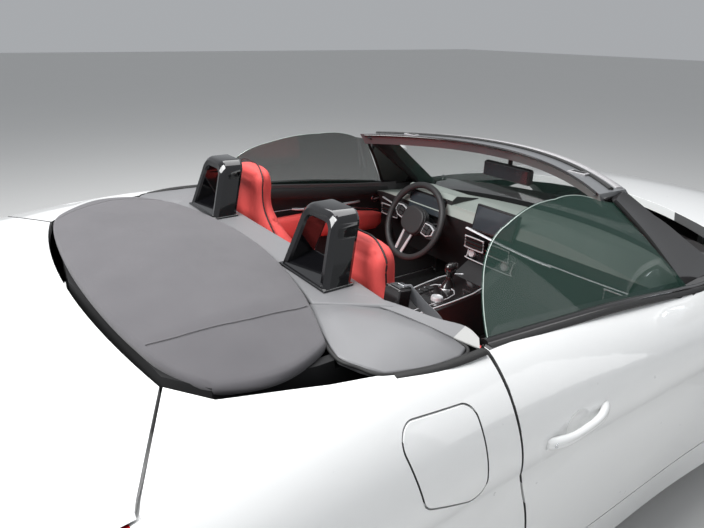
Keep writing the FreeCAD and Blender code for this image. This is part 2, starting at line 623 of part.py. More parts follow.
def build_floor():
    """Floor with its sills, tunnel, bulkheads, boot tray and front rails."""
    floor = S.floor_z
    top = floor + S.floor_wall
    wall = S.bulkhead_wall
    front_end = NOSE_SPLIT_X + 120
    rear_wall_x = S.rear_bulkhead_x - wall
    profile_line = [(front_end, floor), (rear_wall_x, floor), (rear_wall_x, S.boot_floor_z - wall),
                    (-FAR, S.boot_floor_z - wall), (-FAR, S.boot_floor_z), (rear_wall_x, S.boot_floor_z),
                    (rear_wall_x, S.bulkhead_top_z), (S.rear_bulkhead_x, S.bulkhead_top_z),
                    (S.rear_bulkhead_x, top), (S.bulkhead_x, top),
                    (S.bulkhead_x, S.scuttle_z - 30), (S.bulkhead_x + wall, S.scuttle_z - 30),
                    (S.bulkhead_x + wall, top), (front_end, top)]
    tub = slab_y(profile_line, -FAR, FAR)
    tunnel = slab_x([(-S.tunnel_half, top), (S.tunnel_half, top), (S.tunnel_half - 30, S.tunnel_z),
                     (-S.tunnel_half + 30, S.tunnel_z)], S.rear_bulkhead_x, S.bulkhead_x)
    pieces = [tunnel]
    for side in (1, -1):
        rail_y = sorted((side * 400, side * 470))
        pieces.append(block((S.bulkhead_x + wall, front_end), rail_y, (S.engine_base_z, 390)))
        sill_y = sorted((side * 640, side * 760))
        pieces.append(block((S.rear_bulkhead_x, S.bulkhead_x + wall), sill_y, (floor, 285)))
    tub = tub.multiFuse(pieces).common(HOLLOW)
    sill = SHELL.common(block((S.door_rear_low_x - 20 + GAP, S.door_front_x + 6),
                              (S.tunnel_half, FAR), (0, S.door_base_z - GAP)))
    for cutter in ARCHES:
        tub = tub.cut(cutter)
        sill = sill.cut(cutter)
    for axle_x, reach in ((S.front_axle_x, 500), (S.rear_axle_x, 640)):
        for side in (1, -1):
            centre = Vector(axle_x, side * reach, S.tyre_radius)
            tub = tub.cut(Part.makeCylinder(S.arch_radius, 300, centre, Vector(0, side, 0)))
    for side in (1, -1):
        for pad_x in (S.jack_pad_x, S.jack_pad_rear_x):
            pad = Part.makeCylinder(32, 40, Vector(pad_x, side * S.jack_pad_y, floor - 8))
            tub = tub.fuse(pad)
    tub = keep_solids(tub.removeSplitter())
    add_part("floor_pan", tub)
    pin_at = Vector(S.door_pin_x, S.door_pin_y, S.door_base_z - 30)
    sill = keep_solids(sill.cut(tub).fuse(Part.makeCylinder(S.door_pin_radius, 60, pin_at)))
    for label, side in SIDES:
        add_part(f"sill_{label}", on_side(sill, side))


def header_section(y):
    """Header's four corners in X and Z at one place across the car."""
    share = (abs(y) / S.header_half) ** 2
    rear = S.header_rear_x + (S.header_corner_x - S.header_rear_x) * share
    front = rear + S.header_depth + 10 * share
    top = S.header_z - 20 * share
    low = top - S.header_height
    return [(rear, top), (front - 25, top - 4), (front, top - 26), (rear + 30, low)]


def build_windscreen():
    """A-pillars, header and scuttle as one black frame, and the glass in it."""
    stations = (-S.header_half, -0.5 * S.header_half, 0.0, 0.5 * S.header_half, S.header_half)
    wires = []
    for y in stations:
        wires.append(Part.Wire(edges_through(header_section(y),
                                             lambda x, z, y=y: Vector(x, y, z))))
    frame = Part.makeLoft(wires, True, False)
    foot_z = S.scuttle_z
    foot = [(S.pillar_foot_x - 90, S.pillar_foot_y - 40), (S.pillar_foot_x + 20, S.pillar_foot_y - 40),
            (S.pillar_foot_x + 20, S.pillar_foot_y), (S.pillar_foot_x - 90, S.pillar_foot_y)]
    end = header_section(S.header_half)
    top_z = end[0][1] - 16
    top = [(end[0][0] + 24, S.header_half - 36), (end[2][0] - 14, S.header_half - 36),
           (end[2][0] - 14, S.header_half), (end[0][0] + 24, S.header_half)]
    top_points = [Vector(x, y, top_z) for x, y in top]
    top_wire = Part.makePolygon(top_points + top_points[:1])
    foot_points = [Vector(x, y, foot_z) for x, y in foot]
    foot_wire = Part.makePolygon(foot_points + foot_points[:1])
    pillar = Part.makeLoft([top_wire, foot_wire], True, True)
    corner = S.bonnet_rear_side_x - GAP
    half = S.pillar_foot_y - 7
    scuttle_plan = [(corner - 300, -half), (corner - 20, -half),
                    (S.bonnet_rear_x - 2 * GAP, 0, corner - 20, half),
                    (corner - 300, half), (S.bulkhead_x - 20, 0, corner - 300, -half)]
    scuttle = slab_z(scuttle_plan, S.scuttle_z - S.scuttle_wall, S.scuttle_z)
    frame = frame.multiFuse([pillar, mirrored(pillar), scuttle]).removeSplitter()
    frame = keep_solids(frame.cut(SCREEN))
    add_part("windscreen_frame", frame)
    add_part("windscreen", SCREEN)
    return frame


def windscreen_glass():
    """Curved glass between scuttle and header."""
    wires = []
    wall = S.screen_wall
    for half, side_x, mid_x, z in ((S.pillar_foot_y - 42, 395, S.screen_low_x,
                                    S.scuttle_z + S.seat_gap),
                                   (S.header_half - 34, 18, S.screen_top_x, S.header_z - 40)):
        items = [(side_x, -half), (mid_x + 0.5 * wall, 0, side_x, half),
                 (side_x - wall, half), (mid_x - 0.5 * wall, 0, side_x - wall, -half)]
        wires.append(Part.Wire(edges_through(items, lambda x, y, z=z: Vector(x, y, z))))
    return Part.makeLoft(wires, True, True)


SCREEN = windscreen_glass()


def build_deck():
    """Deck trim behind the seats, well lining, canvas cover and the two side covers."""
    top = S.deck_z
    low = top - S.deck_wall
    plan = [(S.deck_front_x, -420), (S.deck_front_x - 4, 0, S.deck_front_x, 420),
            (S.deck_front_x - 10, 600), (S.cover_front_x - 62, 480),
            (S.cover_front_x, 0, S.cover_front_x - 62, -480), (S.deck_front_x - 10, -600)]
    trim = slab_z(plan, low, top)
    panel = block((S.rear_bulkhead_x, S.rear_bulkhead_x + 20), (-540, 540), (480, low))
    add_part("deck_trim", trim.fuse(panel).removeSplitter())
    half = [(S.cover_front_x - 62 - 30, 478), (S.cover_front_x - 150, S.cover_half - 4),
            (S.cover_rear_x + 110, S.cover_half - 8), (S.lid_corner_x - 10, 560)]
    other = [(x, -y) for x, y in reversed(half)]
    base = [(other[-1][0], other[-1][1]), (S.cover_front_x - 30, 0, half[0][0], half[0][1])]
    base = base + half[1:] + [(S.cover_rear_x, 0, *other[0])] + other[1:-1]
    rim_z = S.deck_z - 22
    cover = slab_z(base, rim_z, rim_z + 90)
    dome = slab_x([(-760, rim_z), (760, rim_z), (760, rim_z + 12),
                   (0, rim_z + 12 + S.cover_crown, -760, rim_z + 12)], -1500, -900)
    arch = slab_y([(-880, rim_z), (-1450, rim_z), (-1450, rim_z + 14),
                   (-1180, rim_z + 92, -880, rim_z + 34)], -FAR, FAR)
    cover = cover.common(dome).common(arch)
    add_part("soft_top_cover", keep_solids(cover))
    wall_x = S.rear_bulkhead_x - S.bulkhead_wall
    lining = slab_z([(S.lid_front_x + 12, 0), (S.lid_corner_x + 8, 560), (-1300, 650), (-1100, 690),
                     (wall_x, 690), (wall_x, -690), (-1100, -690),
                     (-1300, -650), (S.lid_corner_x + 8, -560)], rim_z - S.well_depth,
                    rim_z - S.seat_gap)
    hollow = slab_z([(S.lid_front_x + 32, 0), (S.lid_corner_x + 22, 530), (-1290, 620), (-1100, 666),
                     (wall_x - 20, 666), (wall_x - 20, -666), (-1100, -666),
                     (-1290, -620), (S.lid_corner_x + 22, -530)], rim_z - S.well_depth + 12, 1200)
    side_plan = [(-992, 486), (-838, 608), (-806, 720), (-790, 800), (-900, 803),
                 (-1012, 773), (-1060, 694)]
    cover_plate = slab_z(side_plan, S.deck_z - 44, S.deck_z - 22)
    lining = lining.cut(hollow).cut(trim).cut(cover_plate).cut(mirrored(cover_plate))
    add_part("top_well", keep_solids(lining))
    for label, side in SIDES:
        add_part(f"side_cover_{label}", on_side(cover_plate, side))


def hoop_outline(inset, x):
    """Outside of a roll hoop at one depth, as a wire: an inverted U that narrows upwards."""
    base = S.hoop_half_base - inset
    top = S.hoop_half_top - inset
    high = S.hoop_height - inset
    items = [(-base, 0), (-top - 4, high - 40), (-top + 8, high - 12, -top + 38, high),
             (top - 38, high), (top - 8, high - 12, top + 4, high - 40), (base, 0)]
    return Part.Wire(edges_through(items, lambda y, z: Vector(x, y, z)))


def hoop_window(grow, x):
    """Opening of a roll hoop at one depth, as a wire."""
    bar = S.hoop_bar - grow
    base = S.hoop_half_base - bar
    top = S.hoop_half_top - bar
    high = S.hoop_height - bar
    items = [(-base, -1), (-top - 4, high - 28), (-top, high - 12, -top + 16, high),
             (top - 16, high), (top, high - 12, top + 4, high - 28), (base, -1)]
    return Part.Wire(edges_through(items, lambda y, z: Vector(x, y, z)))


def build_hoops():
    """Roll hoops: leaning inverted U frames with a bevelled rear face and a base fairing."""
    bevel = S.hoop_bevel
    depth = S.hoop_depth
    shape = Part.makeLoft([hoop_outline(bevel, 0), hoop_outline(0, 1.4 * bevel),
                           hoop_outline(0, depth - bevel), hoop_outline(0.6 * bevel, depth)], True, True)
    window = Part.makeLoft([hoop_window(bevel, -1), hoop_window(0, 1.4 * bevel),
                            hoop_window(0, depth + 1)], True, True)
    base = S.hoop_half_base
    shape = shape.cut(window)
    shape = shape.fuse(slab_x([(-base, 0), (base, 0), (base - 8, 16), (-base + 8, 16)], bevel, depth))
    shape.rotate(Vector(0, 0, 0), Vector(0, 1, 0), S.hoop_lean)
    foot = block((-10, 80), (-base, base), (-40, 0.0))
    shape = shape.cut(foot)
    plinth = slab_x([(-base, 0), (base, 0), (base - 4, 8), (-base + 4, 8)], 0, depth)
    shape = shape.fuse(plinth).removeSplitter()
    for label, side in SIDES:
        place = Placement(Vector(S.hoop_base_x, side * S.hoop_y, S.deck_z), Rotation())
        add_part(f"roll_hoop_{label}", shape.copy(), place)


# Levels of the seat back. Columns: share of the height, share of the half width, front set-back
# and rear set-back as shares of the back's lean.
BACK_LEVELS = (
    (0.00, 0.88, 0.02, 0.02), (0.14, 0.99, 0.03, 0.16), (0.30, 1.08, 0.12, 0.36),
    (0.44, 1.08, 0.30, 0.56), (0.56, 1.05, 0.52, 0.76), (0.65, 0.97, 0.78, 0.92),
    (0.72, 0.83, 0.98, 1.02), (0.80, 0.60, 1.12, 1.06), (0.88, 0.54, 1.20, 1.09),
    (0.95, 0.49, 1.30, 1.14), (1.00, 0.36, 1.62, 1.06),
)


def seat_back():
    """Seat back: bolsters at the sides, narrowing at the shoulders into the headrest."""
    low = S.cushion_z - 60
    rise = S.seat_top_z - low
    wires = []
    for share, wide, front_share, rear_share in BACK_LEVELS:
        z = low + share * rise
        half = wide * S.seat_half
        front = S.seat_back_x - front_share * S.seat_lean
        rear = S.seat_back_x - 0.8 * S.seat_thickness - rear_share * S.seat_lean
        corner = min(0.42 * (front - rear), 0.5 * half)
        items = [(front - corner, half), (front - 0.3 * corner, half - 0.3 * corner,
                                          front, half - corner),
                 (front, corner - half), (front - 0.3 * corner, 0.3 * corner - half,
                                          front - corner, -half),
                 (rear + corner, -half), (rear + 0.3 * corner, 0.3 * corner - half,
                                          rear, corner - half),
                 (rear, half - corner), (rear + 0.3 * corner, half - 0.3 * corner,
                                         rear + corner, half)]
        wires.append(Part.Wire(edges_through(items, lambda x, y, z=z: Vector(x, y, z))))
    return Part.makeLoft(wires, True, False)


def seat_cushion():
    """Cushion: a rounded section with raised side rolls, drawn from the back to the knees."""
    top = S.cushion_z
    rear = S.seat_back_x - 20
    front = S.cushion_front_x
    rows = ((rear, 0.94, -20, 90), (rear + 160, 1.0, -6, 106), (front - 110, 0.99, 18, 118),
            (front - 32, 0.95, 20, 112), (front, 0.85, -12, 62))
    wires = []
    for x, wide, rise, tall in rows:
        half = wide * S.seat_half
        high = top + rise
        low = high - tall
        items = [(-half + 34, low), (-half, low + 24), (-half, high - 12),
                 (-half + 20, high + 18, -half + 62, high), (half - 62, high),
                 (half - 20, high + 18, half, high - 12), (half, low + 24), (half - 34, low)]
        wires.append(Part.Wire(edges_through(items, lambda y, z, x=x: Vector(x, y, z))))
    return Part.makeLoft(wires, True, False)


def build_seats():
    """Both seats on their runners. The driver's stands further forward and higher."""
    upper = seat_cushion().fuse(seat_back())
    for label, side in SIDES:
        forward = S.driver_forward if side > 0 else 0.0
        raised = S.driver_raise if side > 0 else 0.0
        shape = upper.copy()
        shape.translate(Vector(0, 0, raised))
        rail_top = S.floor_z + S.floor_wall + 32
        pan = block((S.seat_back_x + 30, S.cushion_front_x - 80), (-160, 160),
                    (rail_top - 1, S.cushion_z + raised - 70))
        pieces = [pan]
        for y in (-170, 170):
            pieces.append(block((S.seat_back_x + 20, S.cushion_front_x - 60), (y - 22, y + 22),
                                (S.floor_z + S.floor_wall, rail_top)))
        shape = shape.multiFuse(pieces)
        add_part(f"seat_{label}", keep_solids(shape),
                 Placement(Vector(forward, side * S.seat_y, 0), Rotation()))


def build_cabin(frame):
    """Dashboard, console with its lever, steering column, steering wheel and inner mirror."""
    top = S.dash_top_z
    side = [(S.bulkhead_x - 1, 560), (S.bulkhead_x - 1, S.scuttle_z - S.scuttle_wall - 1), (430, top - 70),
            (290, top), (140, top - 8), (120, top - 50), (150, top - 130), (200, top - 190), (260, 560)]
    dash = slab_y(side, -S.dash_half, S.dash_half)
    dash = dash.common(HOLLOW)
    cowl = slab_y([(300, top - 40), (140, top - 40), (138, top + 10), (165, top + 26), (300, top)],
                  S.seat_y - 150, S.seat_y + 150)
    dash = dash.fuse(cowl).cut(frame).removeSplitter()
    add_part("dashboard", keep_solids(dash))
    seat = S.tunnel_z + 0.5
    console = slab_y([(215, 560), (215, top - 190), (150, top - 215), (60, S.console_z),
                      (-330, S.console_z - 30), (-420, S.console_z + 40),
                      (-700, S.console_z + 60), (-700, seat), (259, seat), (259, 560)],
                     -S.console_half + 25, S.console_half - 25)
    add_part("centre_console", console.cut(dash))
    lever = Part.makeCone(20, 26, 80, Vector(-70, 22, S.console_z - 14), Vector(0.25, 0, 1))
    knob = slab_z([(-110, -6), (0, -6), (20, 22, 0, 50), (-110, 50)], S.console_z + 55, S.console_z + 82)
    add_part("gear_lever", lever.fuse(knob).cut(console))
    tilt = math.radians(S.wheel_tilt)
    normal = Vector(-math.cos(tilt), 0, math.sin(tilt))
    centre = Vector(S.wheel_x, S.seat_y, S.wheel_z)
    turn = Rotation(Vector(0, 0, 1), normal)
    rim = Part.makeTorus(S.wheel_radius - S.wheel_grip, S.wheel_grip)
    hub = Part.makeCylinder(62, 38, Vector(0, 0, -26)).fuse(Part.makeCone(62, 50, 8, Vector(0, 0, 12)))
    reach = S.wheel_radius - S.wheel_grip
    arm = slab_z([(40, -34), (100, -36), (reach, -16), (reach, 22), (110, 32), (40, 34)], -16, -4)
    blades = slab_z([(40, -34), (reach, -24), (reach, 24), (40, 34)], -16, -4)
    blades = blades.cut(slab_z([(70, -12), (reach - 22, -9), (reach - 22, 9), (70, 12)], -20, 0))
    spokes = []
    for angle, spoke in ((0, arm.mirror(Vector(0, 0, 0), Vector(0, 1, 0))), (180, arm), (90, blades)):
        spoke = spoke.copy()
        spoke.rotate(Vector(0, 0, 0), Vector(0, 0, 1), angle)
        spokes.append(spoke)
    wheel = rim.multiFuse([hub] + spokes)
    add_part("steering_wheel", wheel.removeSplitter(), Placement(centre, turn.multiply(
        Rotation(Vector(0, 0, 1), spoke_turn(turn) + S.wheel_turn))))
    back = centre - normal * (26 + S.seat_gap)
    column = Part.makeCylinder(32, 120, back, normal * -1)
    shroud = Part.makeCone(40, 62, 80, back - normal * 6, normal * -1)
    add_part("steering_column", keep_solids(column.fuse(shroud).cut(dash)))
    glass = block((-15, 15), (-120, 120), (-32, 32))
    glass = glass.makeFillet(12, glass.Edges)
    slope = (S.header_z - 40 - S.scuttle_z) / (S.screen_low_x - S.screen_top_x)
    glass_low = S.scuttle_z + (S.screen_low_x - 0.5 * S.screen_wall - 234) * slope
    stem = Part.makeCylinder(9, glass_low - 1075 - 20, Vector(10, 0, 20))
    add_part("interior_mirror", glass.fuse(stem), Placement(Vector(215, 0, 1075), Rotation()))


def spoke_turn(turn):
    """Angle about the wheel's axis that points its third spoke straight down."""
    down = turn.inverted().multVec(Vector(0, 0, -1))
    return math.degrees(math.atan2(down.y, down.x)) - 90.0


def origin_plane(body, role):
    """One of a body's own base planes."""
    return next(item for item in body.Origin.OriginFeatures if item.Role == role)


def profile(body, name, role, corners, offset=None):
    """Closed sketch whose corners are placed by formulas of the sheet's sizes."""
    sketch = body.newObject("Sketcher::SketchObject", name)
    sketch.AttachmentSupport = [(origin_plane(body, role), "")]
    sketch.MapMode = "FlatFace"
    if offset:
        sketch.setExpression("AttachmentOffset.Base.z", offset)
    count = len(corners)
    ring = [Vector(S.rim_radius * math.cos(2 * math.pi * number / count),
                   S.rim_radius * math.sin(2 * math.pi * number / count), 0) for number in range(count)]
    for number in range(count):
        sketch.addGeometry(Part.LineSegment(ring[number], ring[(number + 1) % count]), False)
    for number in range(count):
        following = (number + 1) % count
        sketch.addConstraint(Sketcher.Constraint("Coincident", number, 2, following, 1))
    for number, corner in enumerate(corners):
        for kind, formula in zip(("DistanceX", "DistanceY"), corner):
            index = sketch.addConstraint(Sketcher.Constraint(kind, -1, 1, number, 1, S.rim_lip))
            sketch.setExpression(f"Constraints[{index}]", formula)
    return sketch


def turned(body, kind, name, corners):
    """Profile revolved about the wheel's axis, to add or to take away."""
    sketch = profile(body, f"{name}_profile", "XY_Plane", corners)
    feature = body.newObject(f"PartDesign::{kind}", name)
    feature.Profile = sketch
    feature.ReferenceAxis = (sketch, ["V_Axis"])
    feature.Angle = 360
    return feature


def wheel_body(name, axle, side):
    """Body that stands on one wheel's centre, with its outer face outwards."""
    body = doc.addObject("PartDesign::Body", name)
    body.Label = name
    body.setExpression("Placement.Base.x", f"Sizes.{axle}_axle_x")
    body.setExpression("Placement.Base.y", f"{side:.0f} * 0.5 * Sizes.{axle}_track")
    body.setExpression("Placement.Base.z", "Sizes.tyre_radius")
    if side < 0:
        body.Placement = Placement(body.Placement.Base, Rotation(Vector(0, 0, 1), 180))
    PARTS.append(body)
    return body


def build_tyre(name, axle, side):
    """Tyre: tread, shoulders and bulged walls, turned about the wheel's axis."""
    body = wheel_body(name, axle, side)
    bead = "Sizes.rim_radius"
    tread = "Sizes.tyre_radius"
    wall = f"({tread} - {bead})"
    half = f"0.5 * Sizes.{axle}_tyre_width"
    right = [(bead, f"{half} - Sizes.bead_inset"),
             (f"{bead} + 0.2 * {wall}", f"{half} - 0.3 * Sizes.bead_inset"),
             (f"{bead} + 0.45 * {wall}", f"{half} + Sizes.tyre_bulge"),
             (f"{tread} - 0.3 * {wall}", half),
             (f"{tread} - 0.1 * {wall}", f"{half} - 0.4 * Sizes.shoulder_inset"),
             (tread, f"{half} - Sizes.shoulder_inset")]
    left = [(radius, f"-({place})") for radius, place in right]
    turned(body, "Revolution", f"{name}_turned", left + right[::-1])


def build_rim(name, axle, side):
    """Rim: hub with its bore, a ring of paired spokes dished towards the hub, and the barrel."""
    body = wheel_body(name, axle, side)
    half = f"(0.5 * Sizes.{axle}_tyre_width - Sizes.bead_inset)"
    face = f"({half} - Sizes.rim_lip - Sizes.hub_depth)"
    hub = turned(body, "Revolution", f"{name}_hub", [
        ("Sizes.hub_bore_radius", f"{face} - Sizes.hub_length"),
        ("Sizes.hub_radius", f"{face} - Sizes.hub_length"),
        ("Sizes.hub_radius", f"{face} - 0.2 * Sizes.hub_length"),
        ("Sizes.hub_radius - 0.3 * Sizes.hub_length", face), ("Sizes.hub_bore_radius", face)])
    start = "0.75 * Sizes.hub_radius"
    end = "Sizes.rim_radius - 0.5 * Sizes.rim_wall"
    spokes = []
    for letter, sign in (("a", "1"), ("b", "-1")):
        near = f"{sign} * Sizes.spoke_pitch"
        far = f"{sign} * Sizes.spoke_spread"
        corners = [(f"{near} - Sizes.spoke_root", start), (f"{near} + Sizes.spoke_root", start),
                   (f"{far} + Sizes.spoke_tip", end), (f"{far} - Sizes.spoke_tip", end)]
        sketch = profile(body, f"{name}_spoke_{letter}_profile", "XZ_Plane", corners,
                         f"-({face} + Sizes.spoke_dish)")
        spoke = body.newObject("PartDesign::Pad", f"{name}_spoke_{letter}")
        spoke.Profile = sketch
        spoke.setExpression("Length", "Sizes.spoke_thickness + Sizes.spoke_dish")
        spokes.append(spoke)
    ring = body.newObject("PartDesign::PolarPattern", f"{name}_spoke_ring")
    ring.Originals = spokes
    ring.Axis = (hub.Profile[0], ["V_Axis"])
    ring.Angle = 360
    ring.setExpression("Occurrences", "Sizes.spoke_pairs")
    body.Tip = ring
    doc.recompute()
    inner = "Sizes.hub_radius - 0.3 * Sizes.hub_length"
    turned(body, "Groove", f"{name}_dish", [
        (inner, face), ("Sizes.rim_radius", f"{face} + 0.6 * Sizes.spoke_dish"),
        ("Sizes.rim_radius", f"{face} + 3 * Sizes.spoke_dish"), (inner, f"{face} + 3 * Sizes.spoke_dish")])
    outer = "Sizes.rim_radius"
    lip = f"{outer} - 0.6 * Sizes.rim_wall"
    well = f"{outer} - Sizes.rim_wall"
    turned(body, "Revolution", f"{name}_barrel", [
        (outer, f"-{half}"), (outer, half), (lip, half), (well, f"{half} - Sizes.rim_wall"),
        (well, f"-({half} - Sizes.rim_wall)"), (lip, f"-{half}")])


def build_wheels():
    """Four tyres and rims, with knuckles and discs in front and the rear carriers."""
    for axle in ("front", "rear"):
        for label, side in SIDES:
            build_tyre(f"tyre_{axle}_{label}", axle, side)
            build_rim(f"rim_{axle}_{label}", axle, side)
    for label, side in SIDES:
        knuckle = on_side(upright(S.front_track, S.front_tyre_width, 695), side)
        add_part(f"knuckle_{label}", knuckle,
                 Placement(Vector(S.front_axle_x, 0, S.tyre_radius), Rotation()))
    rear = upright(S.rear_track, S.rear_tyre_width, 560)
    arms = slab_x([(-560, -70), (560, -70), (560, -30), (-560, -30)], -30, 30)
    carrier_top = S.boot_floor_z - S.bulkhead_wall - S.tyre_radius
    carrier = block((-120, 120), (-200, 200), (-100, carrier_top))
    whole = rear.multiFuse([mirrored(rear), arms, carrier])
    add_part("rear_axle", whole.removeSplitter(),
             Placement(Vector(S.rear_axle_x, 0, S.tyre_radius), Rotation()))


def upright(track, width, inboard):
    """Left wheel carrier: stub through the rim's bore, brake disc, caliper and upright."""
    hub_out = 0.5 * (track + width) - S.bead_inset - S.rim_lip - S.hub_depth
    disc_y = hub_out - S.hub_length - 6 - S.disc_thickness
    stub = Part.makeCylinder(S.hub_bore_radius - S.hub_fit, hub_out - 4 - disc_y,
                             Vector(0, disc_y, 0), Vector(0, 1, 0))
    disc = Part.makeCylinder(S.disc_radius, S.disc_thickness, Vector(0, disc_y, 0), Vector(0, 1, 0))
    post = slab_x([(inboard, -100), (disc_y + 1, -100), (disc_y + 1, 70), (inboard, 100)], -45, 45)
    caliper = slab_y([(-80, 60), (-80, 165), (-165, 105), (-165, 30)], disc_y - 14,
                     disc_y + S.disc_thickness + 4)
    return stub.multiFuse([disc, post, caliper]).removeSplitter()


def build_underside():
    """Engine block, front subframe with its lower arms, exhaust and towing-eye socket."""
    engine = doc.addObject("Part::Box", "engine_block")
    engine.Label = "engine_block"
    engine.setExpression("Length", "Sizes.engine_length")
    engine.setExpression("Width", "2 * Sizes.engine_half")
    engine.setExpression("Height", "Sizes.engine_height")
    engine.setExpression("Placement.Base.x", "Sizes.bulkhead_x + Sizes.bulkhead_wall + 12")
    engine.setExpression("Placement.Base.y", "-Sizes.engine_half")
    engine.setExpression("Placement.Base.z", "Sizes.engine_base_z")
    PARTS.append(engine)
    top = S.floor_z + S.floor_wall
    beam = slab_z([(-330, -398), (80, -398), (80, 398), (-330, 398)], 0, S.engine_base_z - top)
    beam.translate(Vector(S.front_axle_x, 0, top))
    joint_z = S.tyre_radius - 100 - S.seat_gap
    arms = slab_z([(-60, -390), (60, -390), (60, 390), (-60, 390)], 0, 28)
    for side in (1, -1):
        tip = slab_z([(-60, side * 380), (60, side * 380), (34, side * 745), (-34, side * 745)], 0, 28)
        arms = arms.fuse(tip)
    arms.translate(Vector(S.front_axle_x, 0, joint_z - 28))
    add_part("front_subframe", beam.fuse(arms).removeSplitter())
    pipes = []
    for side in (1, -1):
        start = Vector(S.tail_x + 24, side * S.pipe_y, 300)
        outer = Part.makeCylinder(S.pipe_radius, 250, start, Vector(1, 0, 0))
        bore = Part.makeCylinder(S.pipe_radius - 4, 120, start, Vector(1, 0, 0))
        pipes.append(outer.cut(bore))
    silencer = block((S.tail_x + 200, S.tail_x + 420), (-620, 620), (232, 372))
    silencer = silencer.makeFillet(40, [edge for edge in silencer.Edges if abs(edge.tangentAt(
        edge.FirstParameter).y) > 0.9])
    hangers = []
    for side in (1, -1):
        hangers.append(block((S.tail_x + 290, S.tail_x + 320), (side * 300 - 12, side * 300 + 12),
                             (360, S.boot_floor_z - S.bulkhead_wall)))
    add_part("exhaust", silencer.multiFuse(pipes + hangers).removeSplitter())
    back = Vector(S.nose_x - S.nose_wall + 10, S.tow_y, S.tow_z)
    socket = Part.makeCylinder(22, S.tow_depth + 30, back, Vector(1, 0, 0))
    bore = Part.makeCylinder(S.tow_bore, S.tow_depth, back + Vector(30, 0, 0), Vector(1, 0, 0))
    add_part("towing_socket", socket.cut(bore))


def check_and_write():
    """Stop on any failed object or bad shape, then write one file for each sub-part."""
    doc.recompute()
    for item in doc.Objects:
        if "Invalid" in item.State or "Error" in item.State:
            raise RuntimeError(f"{item.Name} failed: {item.State}")
    for item in PARTS:
        shape = item.Shape
        if shape.isNull() or not shape.isValid() or not shape.Solids:
            raise RuntimeError(f"{item.Label} has a bad shape")
    os.makedirs("parts", exist_ok=True)
    for item in PARTS:
        item.Shape.exportStep(f"parts/{item.Label}.step")


build_bonnet()
build_nose()
build_grille()
build_wings()
build_doors()
build_rear()
build_diffuser()
build_floor()
FRAME = build_windscreen()
build_deck()
build_hoops()
build_seats()
build_cabin(FRAME)
build_wheels()
build_underside()
check_and_write()
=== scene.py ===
"""A white two-seat convertible with its soft top folded away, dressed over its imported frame."""
import json
import logging
import math
from dataclasses import dataclass
from enum import Enum
from typing import Callable, Sequence

import bmesh
import bpy
from mathutils.bvhtree import BVHTree
from mathutils import Matrix, Vector, noise

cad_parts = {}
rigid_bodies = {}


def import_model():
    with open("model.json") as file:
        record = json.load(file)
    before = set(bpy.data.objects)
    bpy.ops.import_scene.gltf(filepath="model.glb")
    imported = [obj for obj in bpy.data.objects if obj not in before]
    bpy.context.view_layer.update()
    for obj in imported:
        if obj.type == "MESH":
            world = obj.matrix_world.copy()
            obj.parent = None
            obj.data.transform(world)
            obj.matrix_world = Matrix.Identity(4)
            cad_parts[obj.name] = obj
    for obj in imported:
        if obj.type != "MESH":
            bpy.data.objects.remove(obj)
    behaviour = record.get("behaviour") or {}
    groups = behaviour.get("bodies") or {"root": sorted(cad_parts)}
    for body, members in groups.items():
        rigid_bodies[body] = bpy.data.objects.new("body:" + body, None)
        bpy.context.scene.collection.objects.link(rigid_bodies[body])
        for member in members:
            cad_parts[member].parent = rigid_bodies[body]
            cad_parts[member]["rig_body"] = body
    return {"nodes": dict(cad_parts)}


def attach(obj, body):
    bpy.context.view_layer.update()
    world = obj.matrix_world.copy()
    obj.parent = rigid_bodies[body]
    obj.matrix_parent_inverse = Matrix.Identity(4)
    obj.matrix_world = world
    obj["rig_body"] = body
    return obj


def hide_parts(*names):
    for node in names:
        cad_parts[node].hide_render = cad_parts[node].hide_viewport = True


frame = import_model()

LOG = logging.getLogger("convertible")
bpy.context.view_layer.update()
Point = tuple[float, float, float]
Colour = tuple[float, float, float]
SIDES: tuple[tuple[str, float], ...] = (("left", 1.0), ("right", -1.0))
BOX_FACES = [(3, 2, 1, 0), (4, 5, 6, 7), (0, 1, 5, 4), (1, 2, 6, 5), (2, 3, 7, 6), (3, 0, 4, 7)]
BOX_RING = ((-1, -1), (1, -1), (1, 1), (-1, 1))
CAD_MERGE = 2e-5
FAR_OFF = 9.0


# Shader groups

class Effect(Enum):
    """The surface effects that several finishes share."""

    VARIATION = "surface_variation"
    GRAIN = "leather_grain"
    WEAVE = "canvas_weave"
    STIPPLE = "moulded_stipple"
    BRUSHED = "brushed_metal"
    DUST = "road_dust"


